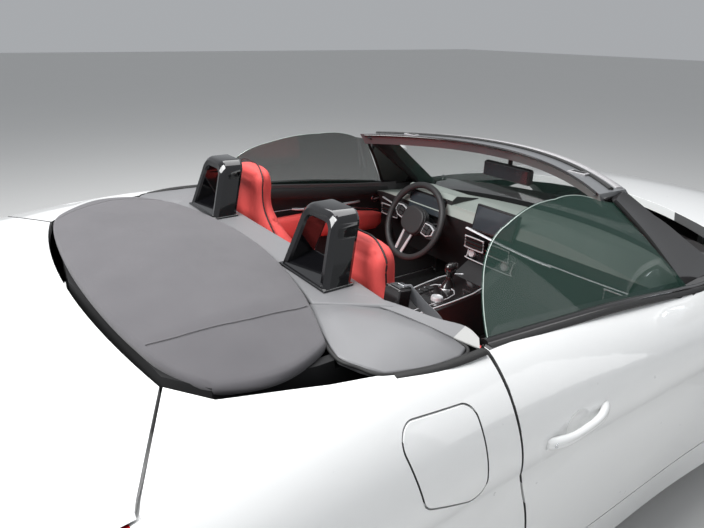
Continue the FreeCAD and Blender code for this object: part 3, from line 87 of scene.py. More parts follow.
class NodeWriter:
    """Short calls for adding and joining nodes in one tree."""

    def __init__(self, tree: bpy.types.NodeTree) -> None:
        """Keep the tree that is written to."""
        self.tree = tree

    def add(self, kind: str, **values: object) -> bpy.types.Node:
        """Add a node.

        Args:
            kind: Blender's name for the node.
            values: Attributes, or inputs as in_NAME with spaces as underscores.

        Returns:
            The new node.
        """
        node = self.tree.nodes.new(kind)
        for key, value in values.items():
            if key.startswith("in_"):
                node.inputs[key[3:].replace("_", " ")].default_value = value
            else:
                setattr(node, key, value)
        return node

    def join(self, source: bpy.types.NodeSocket, target: bpy.types.NodeSocket) -> None:
        """Link two sockets."""
        self.tree.links.new(source, target)

    def math(self, operation: str, *items: object) -> bpy.types.NodeSocket:
        """Add a Math node.

        Args:
            operation: The name of its operation.
            items: Numbers or sockets, in input order.

        Returns:
            Its output socket.
        """
        node = self.add("ShaderNodeMath", operation=operation)
        for place, item in enumerate(items):
            if isinstance(item, bpy.types.NodeSocket):
                self.join(item, node.inputs[place])
            else:
                node.inputs[place].default_value = float(item)
        return node.outputs[0]

    def blend_colours(self, factor: object, first: object, second: object) -> bpy.types.NodeSocket:
        """Mix two colours.

        Args:
            factor: Number or socket.
            first: Colour or socket at 0.
            second: Colour or socket at 1.

        Returns:
            The mixed colour's socket.
        """
        node = self.add("ShaderNodeMix", data_type="RGBA")
        for socket, item in ((node.inputs[0], factor), (node.inputs[6], first),
                             (node.inputs[7], second)):
            if isinstance(item, bpy.types.NodeSocket):
                self.join(item, socket)
            elif isinstance(item, tuple):
                socket.default_value = (*item, 1.0)
            else:
                socket.default_value = float(item)
        return node.outputs[2]


class EffectLibrary:
    """Builds each shared shader group once."""

    def __init__(self) -> None:
        """Start with no group built."""
        self.built: dict[Effect, bpy.types.NodeTree] = {}

    def get(self, effect: Effect) -> bpy.types.NodeTree:
        """The effect's group, built on first use."""
        if effect not in self.built:
            self.built[effect] = self._build(effect)
        return self.built[effect]

    def _build(self, effect: Effect) -> bpy.types.NodeTree:
        """Make one group with named inputs and outputs.

        Args:
            effect: Which effect to build.

        Returns:
            The finished node group.
        """
        tree = bpy.data.node_groups.new(effect.value, "ShaderNodeTree")
        face = tree.interface
        for name, kind, value in (("Colour", "NodeSocketColor", (0.5, 0.5, 0.5, 1.0)),
                                  ("Second Colour", "NodeSocketColor", (0.4, 0.4, 0.4, 1.0)),
                                  ("Roughness", "NodeSocketFloat", 0.5),
                                  ("Scale", "NodeSocketFloat", 10.0),
                                  ("Amount", "NodeSocketFloat", 0.5)):
            face.new_socket(name, in_out="INPUT", socket_type=kind).default_value = value
        face.new_socket("Colour", in_out="OUTPUT", socket_type="NodeSocketColor")
        face.new_socket("Roughness", in_out="OUTPUT", socket_type="NodeSocketFloat")
        face.new_socket("Height", in_out="OUTPUT", socket_type="NodeSocketFloat")
        writer = NodeWriter(tree)
        source = writer.add("NodeGroupInput")
        sink = writer.add("NodeGroupOutput")
        place = writer.add("ShaderNodeTexCoord").outputs["Object"]
        makers: dict[Effect, Callable[..., tuple]] = {
            Effect.VARIATION: self._variation, Effect.GRAIN: self._grain, Effect.WEAVE: self._weave,
            Effect.STIPPLE: self._stipple, Effect.BRUSHED: self._brushed, Effect.DUST: self._dust}
        colour, rough, height = makers[effect](writer, source.outputs, place)
        writer.join(colour, sink.inputs["Colour"])
        writer.join(rough, sink.inputs["Roughness"])
        writer.join(height, sink.inputs["Height"])
        return tree

    @staticmethod
    def _noise(writer: NodeWriter, place: object, scale: object, detail: float = 4.0) -> object:
        """A noise texture's value over the object's own coordinates."""
        node = writer.add("ShaderNodeTexNoise", in_Detail=detail)
        writer.join(place, node.inputs["Vector"])
        if isinstance(scale, bpy.types.NodeSocket):
            writer.join(scale, node.inputs["Scale"])
        else:
            node.inputs["Scale"].default_value = scale
        return node.outputs["Fac"]

    def _variation(self, writer: NodeWriter, given: object, place: object) -> tuple:
        """Slow drift of colour and gloss, with a faint ripple."""
        slow = self._noise(writer, place, given["Scale"], 3.0)
        fine = self._noise(writer, place, writer.math("MULTIPLY", given["Scale"], 22.0), 2.0)
        factor = writer.math("MULTIPLY", slow, given["Amount"])
        colour = writer.blend_colours(factor, given["Colour"], given["Second Colour"])
        spread = writer.math("MULTIPLY", writer.math("SUBTRACT", fine, 0.5), given["Amount"])
        rough = writer.math("ADD", given["Roughness"], writer.math("MULTIPLY", spread, 0.25))
        return colour, rough, writer.math("ADD", slow, writer.math("MULTIPLY", fine, 0.12))

    def _grain(self, writer: NodeWriter, given: object, place: object) -> tuple:
        """Leather: pebbles parted by fine creases, and a soft pull of wrinkles."""
        cells = writer.add("ShaderNodeTexVoronoi", feature="DISTANCE_TO_EDGE")
        writer.join(place, cells.inputs["Vector"])
        writer.join(given["Scale"], cells.inputs["Scale"])
        pebble = writer.math("MINIMUM", writer.math("MULTIPLY", cells.outputs["Distance"], 5.0),
                             1.0)
        slow = self._noise(writer, place, writer.math("MULTIPLY", given["Scale"], 0.02), 4.0)
        crease = writer.math("SUBTRACT", 1.0, pebble)
        factor = writer.math("MULTIPLY", writer.math("ADD", crease, slow), given["Amount"])
        colour = writer.blend_colours(factor, given["Colour"], given["Second Colour"])
        rough = writer.math("ADD", given["Roughness"], writer.math("MULTIPLY", crease, 0.12))
        return colour, rough, writer.math("ADD", pebble, writer.math("MULTIPLY", slow, 2.0))

    def _weave(self, writer: NodeWriter, given: object, place: object) -> tuple:
        """Canvas: crossing yarns, uneven in height and shade."""
        waves = []
        for axis in ("X", "Y"):
            wave = writer.add("ShaderNodeTexWave", wave_type="BANDS", bands_direction=axis,
                              in_Distortion=0.8, in_Detail=2.0, in_Detail_Scale=3.0)
            writer.join(place, wave.inputs["Vector"])
            writer.join(given["Scale"], wave.inputs["Scale"])
            waves.append(wave.outputs["Fac"])
        yarn = writer.math("MAXIMUM", waves[0], waves[1])
        slow = self._noise(writer, place, 9.0, 5.0)
        fine = self._noise(writer, place, given["Scale"], 2.0)
        mix = writer.math("MULTIPLY", writer.math("ADD", writer.math("MULTIPLY", yarn, 0.5), slow),
                          given["Amount"])
        colour = writer.blend_colours(mix, given["Second Colour"], given["Colour"])
        rough = writer.math("ADD", given["Roughness"], writer.math("MULTIPLY", fine, 0.1))
        return colour, rough, writer.math("ADD", yarn, writer.math("MULTIPLY", fine, 0.6))

    def _stipple(self, writer: NodeWriter, given: object, place: object) -> tuple:
        """Moulded plastic: fine even grain, a little lighter where it is rubbed."""
        fine = self._noise(writer, place, given["Scale"], 3.0)
        slow = self._noise(writer, place, 6.0, 4.0)
        factor = writer.math("MULTIPLY", slow, given["Amount"])
        colour = writer.blend_colours(factor, given["Colour"], given["Second Colour"])
        rough = writer.math("ADD", given["Roughness"],
                            writer.math("MULTIPLY", writer.math("SUBTRACT", slow, 0.5), 0.15))
        return colour, rough, fine

    def _brushed(self, writer: NodeWriter, given: object, place: object) -> tuple:
        """Metal with fine lines drawn one way."""
        stretch = writer.add("ShaderNodeMapping")
        stretch.inputs["Scale"].default_value = (0.05, 1.0, 1.0)
        writer.join(place, stretch.inputs["Vector"])
        lines = self._noise(writer, stretch.outputs["Vector"], given["Scale"], 3.0)
        factor = writer.math("MULTIPLY", lines, given["Amount"])
        colour = writer.blend_colours(factor, given["Colour"], given["Second Colour"])
        rough = writer.math("ADD", given["Roughness"], writer.math("MULTIPLY", lines, 0.1))
        return colour, rough, lines

    def _dust(self, writer: NodeWriter, given: object, place: object) -> tuple:
        """Road dust that thickens towards the ground."""
        split = writer.add("ShaderNodeSeparateXYZ")
        writer.join(place, split.inputs["Vector"])
        low = writer.math("SUBTRACT", 0.55, split.outputs["Z"])
        low = writer.math("MAXIMUM", writer.math("MULTIPLY", low, 1.6), 0.0)
        spots = self._noise(writer, place, given["Scale"], 6.0)
        mask = writer.math("MINIMUM", writer.math("MULTIPLY", writer.math("MULTIPLY", low, spots),
                                                  given["Amount"]), 1.0)
        colour = writer.blend_colours(mask, given["Colour"], given["Second Colour"])
        rough = writer.math("ADD", given["Roughness"], writer.math("MULTIPLY", mask, 0.3))
        return colour, rough, spots


EFFECTS = EffectLibrary()


# Finishes

@dataclass(frozen=True)
class Finish:
    """One finish of the car: its colours, gloss and surface effect."""

    name: str
    colour: Colour
    second: Colour
    roughness: float
    effect: Effect = Effect.VARIATION
    scale: float = 3.0
    amount: float = 0.3
    bump: float = 0.02
    depth: float = 0.001
    metallic: float = 0.0
    coat: float = 0.0
    coat_roughness: float = 0.03
    sheen: float = 0.0
    transmission: float = 0.0
    ior: float = 1.5
    alpha: float = 1.0
    specular: float = 0.5
    emission: float = 0.0

    def build(self) -> bpy.types.Material:
        """Make the material, or return it if it is already made."""
        known = bpy.data.materials.get(self.name)
        if known is not None:
            return known
        material = bpy.data.materials.new(self.name)
        material.use_nodes = True
        material.diffuse_color = (*self.colour, 1.0)
        tree = material.node_tree
        tree.nodes.clear()
        writer = NodeWriter(tree)
        shader = writer.add("ShaderNodeBsdfPrincipled")
        output = writer.add("ShaderNodeOutputMaterial")
        writer.join(shader.outputs[0], output.inputs[0])
        plain = {"Metallic": self.metallic, "Coat Weight": self.coat, "IOR": self.ior,
                 "Coat Roughness": self.coat_roughness, "Sheen Weight": self.sheen,
                 "Transmission Weight": self.transmission, "Alpha": self.alpha,
                 "Specular IOR Level": self.specular}
        for key, value in plain.items():
            shader.inputs[key].default_value = value
        if self.sheen:
            shader.inputs["Sheen Roughness"].default_value = 0.5
        group = writer.add("ShaderNodeGroup", node_tree=EFFECTS.get(self.effect))
        group.inputs["Colour"].default_value = (*self.colour, 1.0)
        group.inputs["Second Colour"].default_value = (*self.second, 1.0)
        group.inputs["Roughness"].default_value = self.roughness
        group.inputs["Scale"].default_value = self.scale
        group.inputs["Amount"].default_value = self.amount
        writer.join(group.outputs["Colour"], shader.inputs["Base Color"])
        writer.join(group.outputs["Roughness"], shader.inputs["Roughness"])
        if self.emission:
            writer.join(group.outputs["Colour"], shader.inputs["Emission Color"])
            shader.inputs["Emission Strength"].default_value = self.emission
        if self.bump:
            bump = writer.add("ShaderNodeBump", in_Strength=self.bump, in_Distance=self.depth)
            writer.join(group.outputs["Height"], bump.inputs["Height"])
            writer.join(bump.outputs["Normal"], shader.inputs["Normal"])
        return material


class Finishes:
    """Every finish on the car."""

    PAINT = Finish("body_paint", (0.88, 0.885, 0.88), (0.83, 0.84, 0.84), 0.30, scale=1.5,
                   amount=0.4, bump=0.010, coat=1.0)
    # Dark grey for panel faces that look in, face down or line a shut: painted shade.
    EDGE = Finish("panel_painted_shade", (0.090, 0.090, 0.092), (0.110, 0.110, 0.110), 0.8)
    CANVAS = Finish("canvas_charcoal", (0.122, 0.117, 0.125), (0.080, 0.077, 0.084), 0.88,
                    Effect.WEAVE,
                    scale=260.0, amount=0.75, bump=0.35, depth=0.0008, sheen=0.18)
    LINING = Finish("well_lining", (0.012, 0.012, 0.013), (0.006, 0.006, 0.006), 0.9,
                    Effect.STIPPLE,
                    scale=500.0, bump=0.2)
    DECK = Finish("deck_satin", (0.205, 0.205, 0.212), (0.170, 0.170, 0.177), 0.46, Effect.STIPPLE,
                  scale=900.0, amount=0.5, bump=0.12, depth=0.0004)
    HOOP = Finish("hoop_black", (0.004, 0.004, 0.005), (0.008, 0.008, 0.009), 0.08, scale=4.0,
                  amount=0.5, bump=0.0, coat=1.0, specular=0.4)
    HOOP_FACE = Finish("hoop_grey", (0.006, 0.006, 0.007), (0.012, 0.012, 0.013), 0.12, scale=4.0,
                       amount=0.5, bump=0.0, coat=0.6, specular=0.4)
    LEATHER = Finish("coral_leather", (0.93, 0.125, 0.115), (0.84, 0.100, 0.092), 0.55,
                     Effect.GRAIN,
                     scale=420.0, amount=0.34, bump=0.16, depth=0.0006, specular=0.30)
    PIPING = Finish("seat_piping", (0.020, 0.012, 0.012), (0.04, 0.02, 0.02), 0.5, Effect.STIPPLE,
                    scale=800.0)
    BLACK_LEATHER = Finish("cabin_leather", (0.020, 0.020, 0.021), (0.035, 0.035, 0.036), 0.5,
                           Effect.GRAIN, scale=520.0, amount=0.35, bump=0.14, depth=0.0005)
    # Pale grey-green laid over the black leather of the dash top: painted glare.
    DASH_GLARE = Finish("dash_top_painted_glare", (0.330, 0.370, 0.340), (0.270, 0.305, 0.280), 0.55, Effect.GRAIN,
                      scale=520.0, amount=0.35, bump=0.14, depth=0.0005)
    TRIM = Finish("trim_plastic", (0.018, 0.018, 0.019), (0.035, 0.035, 0.036), 0.5, Effect.STIPPLE,
                  scale=900.0, amount=0.4, bump=0.15)
    GLOSS = Finish("gloss_trim", (0.010, 0.009, 0.010), (0.022, 0.018, 0.017), 0.12, scale=5.0,
                   amount=0.6, bump=0.0, coat=0.8)
    HEADER = Finish("header_gloss", (0.150, 0.155, 0.164), (0.120, 0.124, 0.131), 0.45, scale=4.0,
                    amount=0.7, bump=0.0, coat=0.5)
    RAIL = Finish("header_rail", (0.42, 0.41, 0.42), (0.33, 0.32, 0.33), 0.34, Effect.BRUSHED,
                  scale=60.0, metallic=0.3)
    SILVER = Finish("silver_trim", (0.72, 0.73, 0.75), (0.58, 0.59, 0.61), 0.34, Effect.BRUSHED,
                    scale=180.0, amount=0.4, metallic=0.45)
    CHROME = Finish("bright_trim", (0.82, 0.83, 0.85), (0.70, 0.71, 0.73), 0.08, metallic=1.0,
                    scale=8.0, bump=0.0)
    RUBBER = Finish("seal_rubber", (0.012, 0.012, 0.012), (0.022, 0.022, 0.022), 0.62,
                    Effect.STIPPLE,
                    scale=400.0, bump=0.1)
    TYRE = Finish("tyre_compound", (0.022, 0.022, 0.023), (0.085, 0.080, 0.072), 0.78, Effect.DUST,
                  scale=26.0, amount=0.7, bump=0.1)
    ALLOY = Finish("wheel_alloy", (0.42, 0.43, 0.45), (0.32, 0.33, 0.34), 0.26, Effect.VARIATION,
                   scale=14.0, amount=0.5, bump=0.0, metallic=0.9, coat=0.6)
    STEEL = Finish("disc_steel", (0.45, 0.45, 0.46), (0.25, 0.22, 0.19), 0.38, Effect.BRUSHED,
                   scale=120.0, amount=0.5, metallic=0.9)
    UNDER = Finish("underbody_coat", (0.022, 0.022, 0.023), (0.09, 0.08, 0.07), 0.82, Effect.DUST,
                   scale=14.0, amount=0.9, bump=0.2)
    CARPET = Finish("cabin_carpet", (0.016, 0.016, 0.017), (0.032, 0.032, 0.033), 0.95,
                    Effect.STIPPLE,
                    scale=300.0, amount=0.8, bump=0.6, depth=0.002)
    RED_LAMP = Finish("lamp_red_cover", (0.46, 0.012, 0.014), (0.30, 0.006, 0.008), 0.10,
                      scale=30.0,
                      amount=0.5, bump=0.0, coat=1.0, specular=0.7)
    SCREEN_FACE = Finish("screen_glass", (0.030, 0.036, 0.042), (0.05, 0.06, 0.07), 0.10, scale=3.0,
                         amount=0.8, bump=0.0, coat=1.0)
    FLOOR = Finish("studio_floor", (0.70, 0.70, 0.69), (0.67, 0.67, 0.66), 0.7, scale=0.7,
                   amount=0.5,
                   bump=0.0)
    LAMP_DARK = Finish("lamp_housing", (0.055, 0.060, 0.066), (0.025, 0.027, 0.030), 0.10,
                       scale=9.0,
                       amount=0.7, bump=0.0, metallic=0.3, coat=1.0)
    LENS = Finish("lamp_lens", (0.80, 0.83, 0.86), (0.70, 0.74, 0.78), 0.06, scale=40.0, bump=0.0,
                  coat=1.0, emission=0.12)
    AMBER = Finish("lamp_amber", (0.75, 0.24, 0.02), (0.60, 0.16, 0.01), 0.12, scale=40.0, bump=0.0,
                   coat=1.0)
    GUIDE = Finish("lamp_guide", (0.85, 0.035, 0.030), (0.70, 0.02, 0.02), 0.12, scale=40.0,
                   bump=0.0,
                   coat=1.0, emission=0.10)
    PLATE = Finish("plate_blank", (0.78, 0.78, 0.76), (0.70, 0.70, 0.68), 0.35, scale=8.0, coat=0.3)
    MIRROR = Finish("mirror_glass", (0.72, 0.76, 0.80), (0.68, 0.72, 0.76), 0.02, scale=2.0,
                    bump=0.0, metallic=1.0)
    WEB = Finish("belt_web", (0.300, 0.305, 0.320), (0.230, 0.235, 0.250), 0.7, Effect.WEAVE,
                 scale=420.0,
                 amount=0.5, bump=0.2, sheen=0.2)
    PALE = Finish("pillar_trim", (0.42, 0.42, 0.41), (0.36, 0.36, 0.35), 0.5, Effect.STIPPLE,
                  scale=900.0,
                  amount=0.4, bump=0.1, depth=0.0004)


def glass_material(name: str, tint: Colour, alpha: float) -> bpy.types.Material:
    """Thin tinted glass that lets the view through.

    Args:
        name: The material's name.
        tint: Colour of the glass.
        alpha: How much of what lies behind it covers.

    Returns:
        The material.
    """
    known = bpy.data.materials.get(name)
    if known is not None:
        return known
    material = Finish(name, tint, tint, 0.02, bump=0.0, alpha=alpha, specular=0.35).build()
    shader = next(n for n in material.node_tree.nodes if n.type == "BSDF_PRINCIPLED")
    group = next(n for n in material.node_tree.nodes if n.type == "GROUP")
    for link in list(group.outputs["Roughness"].links):
        material.node_tree.links.remove(link)
    shader.inputs["Roughness"].default_value = 0.02
    return material


# Mesh building

def mesh_object(name: str, verts: Sequence, faces: Sequence, finish: Finish | bpy.types.Material,
                smooth_angle: float = 35.0) -> bpy.types.Object:
    """A mesh object at the origin from points and faces, with outward normals.

    Args:
        name: The object's name.
        verts: Points in metres.
        faces: Point indices of each face.
        finish: Finish or material for the whole mesh.
        smooth_angle: Edges sharper than this stay sharp, in degrees.

    Returns:
        The linked object.
    """
    mesh = bpy.data.meshes.new(name)
    mesh.from_pydata([tuple(v) for v in verts], [], [tuple(f) for f in faces])
    obj = bpy.data.objects.new(name, mesh)
    bpy.context.scene.collection.objects.link(obj)
    tidy_mesh(obj, smooth_angle)
    paint(obj, finish)
    return obj


def tidy_mesh(obj: bpy.types.Object, smooth_angle: float = 35.0, merge: float = 1e-5) -> None:
    """Merge doubles, turn faces outwards and mark sharp edges."""
    work = bmesh.new()
    work.from_mesh(obj.data)
    bmesh.ops.remove_doubles(work, verts=work.verts, dist=merge)
    bmesh.ops.dissolve_degenerate(work, edges=work.edges, dist=merge)
    bmesh.ops.recalc_face_normals(work, faces=work.faces)
    limit = math.radians(smooth_angle)
    for edge in work.edges:
        edge.smooth = len(edge.link_faces) == 2 and edge.calc_face_angle(0.0) < limit
    for face in work.faces:
        face.smooth = True
    work.to_mesh(obj.data)
    work.free()


def paint(obj: bpy.types.Object, finish: Finish | bpy.types.Material) -> None:
    """Give the whole object one material."""
    material = finish.build() if isinstance(finish, Finish) else finish
    obj.data.materials.clear()
    obj.data.materials.append(material)


def settle(obj: bpy.types.Object) -> bpy.types.Object:
    """Apply the object's modifiers into a plain mesh.

    Args:
        obj: The object with live modifiers.

    Returns:
        The same object, without modifiers.
    """
    depsgraph = bpy.context.evaluated_depsgraph_get()
    mesh = bpy.data.meshes.new_from_object(obj.evaluated_get(depsgraph))
    obj.modifiers.clear()
    old = obj.data
    obj.data = mesh
    mesh.name = old.name
    return obj


def cad_copy(node: str, name: str, finish: Finish | bpy.types.Material, bevel: float = 0.0,
             segments: int = 2, angle: float = 32.0) -> bpy.types.Object:
    """A merged, smooth copy of a frame node that stands in its place.

    Args:
        node: The frame node.
        name: The new piece's name.
        finish: Its finish.
        bevel: Width of the rounding on its sharp edges, in metres.
        segments: Faces across that rounding.
        angle: Edges sharper than this are rounded or stay sharp.

    Returns:
        The new piece, riding on the node's body.
    """
    source = frame["nodes"][node]
    obj = bpy.data.objects.new(name, source.data.copy())
    bpy.context.scene.collection.objects.link(obj)
    tidy_mesh(obj, angle, CAD_MERGE)
    paint(obj, finish)
    if bevel:
        flat = obj.modifiers.new("flat", "DECIMATE")
        flat.decimate_type = "DISSOLVE"
        flat.angle_limit = math.radians(0.4)
        rounding = obj.modifiers.new("round", "BEVEL")
        rounding.width = bevel
        rounding.segments = segments
        rounding.limit_method = "ANGLE"
        rounding.angle_limit = math.radians(angle)
        rounding.use_clamp_overlap = True
        rounding.harden_normals = True
        settle(obj)
    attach(obj, source["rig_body"])
    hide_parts(node)
    return obj


def circle(count: int) -> list[tuple[float, float]]:
    """Cosine and sine at even steps round a circle."""
    turns = (2 * math.pi * k / count for k in range(count))
    return [(math.cos(t), math.sin(t)) for t in turns]


def bulged(value: float, power: float) -> float:
    """A sine or cosine raised to a power with its sign kept, which squares an outline."""
    return math.copysign(abs(value) ** power, value)


def sided(points: Sequence[Point], sign: float) -> list[Point]:
    """Points of the left side, brought to the side that the sign names."""
    return [(x, y * sign, z) for x, y, z in points]


def prism_faces(count: int) -> list[tuple]:
    """Faces of a prism whose first ring of points comes before its second."""
    ends = [tuple(range(count)), tuple(range(count, 2 * count))]
    return ends + [(i, (i + 1) % count, count + (i + 1) % count, count + i) for i in range(count)]


def loops_to_faces(loops: int, count: int, closed: bool = True, ring: bool = False) -> list[tuple]:
    """Quads that join loops of points.

    Args:
        loops: How many loops there are.
        count: Points in each loop.
        closed: Whether each loop closes on itself.
        ring: Whether the last loop joins the first.

    Returns:
        The faces' indices.
    """
    faces = []
    for a in range(loops if ring else loops - 1):
        b = (a + 1) % loops
        for i in range(count if closed else count - 1):
            j = (i + 1) % count
            faces.append((a * count + i, a * count + j, b * count + j, b * count + i))
    return faces


def tube_path(points: Sequence[Point], radius: float, sides: int = 8, closed: bool = False,
              flat: float = 1.0) -> tuple[list, list]:
    """Round or flattened tube along points.

    Args:
        points: The path.
        radius: The tube's radius.
        sides: Points round the tube.
        closed: Whether the path closes.
        flat: Height of the section as a share of its width.

    Returns:
        Its points and faces.
    """
    path = [Vector(p) for p in points]
    count = len(path)
    verts: list[Vector] = []
    normal = Vector((0, 0, 1))
    for i, here in enumerate(path):
        before = path[i - 1] if i or closed else path[0]
        after = path[(i + 1) % count] if i < count - 1 or closed else path[-1]
        along = (after - before).normalized()
        across = along.cross(normal)
        if across.length < 1e-4:
            across = along.cross(Vector((0, 1, 0)))
        across.normalize()
        up = across.cross(along)
        for c, s in circle(sides):
            verts.append(here + across * (radius * c) + up * (radius * flat * s))
    faces = loops_to_faces(count, sides, True, closed)
    if not closed:
        faces.append(tuple(range(sides)))
        faces.append(tuple(range((count - 1) * sides, count * sides)))
    return verts, faces


def smooth_path(points: Sequence[Point], steps: int = 6, closed: bool = False) -> list[Vector]:
    """Points on a Catmull-Rom curve through the given ones.

    Args:
        points: Points that the curve passes.
        steps: Points made between two given ones.
        closed: Whether the curve closes.

    Returns:
        The curve's points.
    """
    path = [Vector(p) for p in points]
    count = len(path)
    out: list[Vector] = []
    spans = count if closed else count - 1
    for i in range(spans):
        p0 = path[i - 1] if i or closed else path[0]
        p1 = path[i]
        p2 = path[(i + 1) % count]
        p3 = path[(i + 2) % count] if i + 2 < count or closed else path[-1]
        for k in range(steps):
            t = k / steps
            out.append(0.5 * ((2 * p1) + (p2 - p0) * t + (2 * p0 - 5 * p1 + 4 * p2 - p3) * t * t
                              + (3 * p1 - p0 - 3 * p2 + p3) * t ** 3))
    if not closed:
        out.append(path[-1])
    return out


def strip_piece(name: str, points: Sequence[Point], radius: float, finish: Finish, body: str,
                closed: bool = False, flat: float = 1.0, sides: int = 8,
                steps: int = 6) -> bpy.types.Object:
    """A smooth tube through points, riding on a body."""
    path = smooth_path(points, steps, closed) if steps > 1 else [Vector(p) for p in points]
    verts, faces = tube_path(path, radius, sides, closed, flat)
    obj = mesh_object(name, verts, faces, finish, 50)
    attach(obj, body)
    return obj


def plate_piece(name: str, outline: Sequence[Point], lift: Vector, finish: Finish, body: str,
                bevel: float = 0.002, subdivide: int = 0) -> bpy.types.Object:
    """A plate from a closed outline, thickened along a vector and rounded at its edges.

    Args:
        name: The piece's name.
        outline: Points round its lower face.
        lift: From the lower face to the upper one.
        finish: Its finish.
        body: The body that carries it.
        bevel: Rounding of its edges, in metres.
        subdivide: Levels of smoothing.

    Returns:
        The new piece.
    """
    count = len(outline)
    verts = [Vector(p) for p in outline] + [Vector(p) + lift for p in outline]
    obj = mesh_object(name, verts, prism_faces(count), finish, 40)
    rounded(obj, bevel, subdivide)
    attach(obj, body)
    return obj


def rounded(obj: bpy.types.Object, bevel: float, subdivide: int = 0, segments: int = 3,
            angle: float = 30.0) -> bpy.types.Object:
    """Round an object's sharp edges, then smooth it."""
    if bevel:
        rounding = obj.modifiers.new("round", "BEVEL")
        rounding.width = bevel
        rounding.segments = segments
        rounding.limit_method = "ANGLE"
        rounding.angle_limit = math.radians(angle)
        rounding.harden_normals = not subdivide
    if subdivide:
        fine = obj.modifiers.new("smooth", "SUBSURF")
        fine.levels = subdivide
        fine.render_levels = subdivide
    return settle(obj)


def joined(name: str, parts: Sequence[bpy.types.Object]) -> bpy.types.Object:
    """Merge several mesh objects, with their materials, into one.

    Args:
        name: The new object's name.
        parts: The objects, which are removed.

    Returns:
        The merged object at the origin.
    """
    work = bmesh.new()
    mesh = bpy.data.meshes.new(name)
    for part in parts:
        offset = len(mesh.materials)
        for material in part.data.materials:
            mesh.materials.append(material)
        start = len(work.faces)
        work.from_mesh(part.data)
        work.faces.ensure_lookup_table()
        for index in range(start, len(work.faces)):
            work.faces[index].material_index += offset
        bpy.data.objects.remove(part)
    work.to_mesh(mesh)
    work.free()
    obj = bpy.data.objects.new(name, mesh)
    bpy.context.scene.collection.objects.link(obj)
    return obj


def lofted(name: str, rings: Sequence[Sequence], finish: Finish,
           smooth_angle: float) -> bpy.types.Object:
    """A loft through closed rings of points, with both ends filled.

    Args:
        name: The object's name.
        rings: The rings, each with as many points.
        finish: Its finish.
        smooth_angle: Edges sharper than this stay sharp, in degrees.

    Returns:
        The new object.
    """
    count = len(rings[0])
    last = (len(rings) - 1) * count
    faces = loops_to_faces(len(rings), count)
    faces += [tuple(range(count)), tuple(range(last, last + count))]
    return mesh_object(name, [p for ring in rings for p in ring], faces, finish, smooth_angle)


def tube(name: str, path: Sequence[Vector], radius: float, finish: Finish, closed: bool = False,
         flat: float = 1.0) -> bpy.types.Object:
    """A tube through points that stays free, to be joined to others.

    Args:
        name: The object's name.
        path: The points.
        radius: The tube's radius.
        finish: Its finish.
        closed: Whether the path closes.
        flat: Height of the section as a share of its width.

    Returns:
        The new object.
    """
    verts, faces = tube_path(path, radius, 8, closed, flat)
    return mesh_object(name, verts, faces, finish, 60)


def block(name: str, centre: Point, half: Point, finish: Finish, bevel: float,
          lean: float = 0.0) -> bpy.types.Object:
    """A rounded block.

    Args:
        name: The object's name.
        centre: Its middle.
        half: Half its size along each axis.
        finish: Its finish.
        bevel: Rounding of its edges, in metres.
        lean: Turn about Y, in degrees.

    Returns:
        The new object.
    """
    turn = Matrix.Rotation(math.radians(lean), 3, "Y")
    corners = [Vector(centre) + turn @ Vector((x * half[0], y * half[1], z * half[2]))
               for z in (-1, 1) for x, y in BOX_RING]
    return rounded(mesh_object(name, corners, BOX_FACES, finish), bevel)


def box_between(name: str, low: Point, high: Point, finish: Finish, bevel: float,
                segments: int = 3) -> bpy.types.Object:
    """A rounded box between two opposite corners.

    Args:
        name: The object's name.
        low: One corner.
        high: The opposite corner.
        finish: Its finish.
        bevel: Rounding of its edges, in metres.
        segments: Faces across that rounding.

    Returns:
        The new object.
    """
    plan = ((low[0], low[1]), (high[0], low[1]), (high[0], high[1]), (low[0], high[1]))
    corners = [(x, y, z) for z in (low[2], high[2]) for x, y in plan]
    return rounded(mesh_object(name, corners, BOX_FACES, finish), bevel, 0, segments)


def turned_knob(place: Point, out: Point, radius: float, tall: float) -> bpy.types.Object:
    """A knurled silver knob with a hollow face.

    Args:
        place: The middle of its foot.
        out: The direction in which it stands.
        radius: Its radius.
        tall: Its height.

    Returns:
        The new object.
    """
    along = Vector(out).normalized()
    side = along.orthogonal().normalized()
    other = along.cross(side)
    verts = []
    # Share of the radius, height
    rows = ((1.0, 0.0), (1.0, tall * 0.7), (0.92, tall), (0.70, tall), (0.66, tall * 0.9),
            (0.0, tall * 0.9))
    for share, rise in rows:
        for k, (c, s) in enumerate(circle(28)):
            knurl = 1.0 + (0.02 if k % 2 and share > 0.95 else 0.0)
            verts.append(Vector(place) + along * rise + (side * c + other * s) * radius * share
                         * knurl)
    return mesh_object("knob", verts, loops_to_faces(len(rows), 28), Finishes.SILVER, 40)


# Repeats made with Geometry Nodes

class RepeatShape(Enum):
    """What a repeat places at each point."""

    STITCH = "stitch"
    BOLT = "bolt"
    SLAT = "slat"


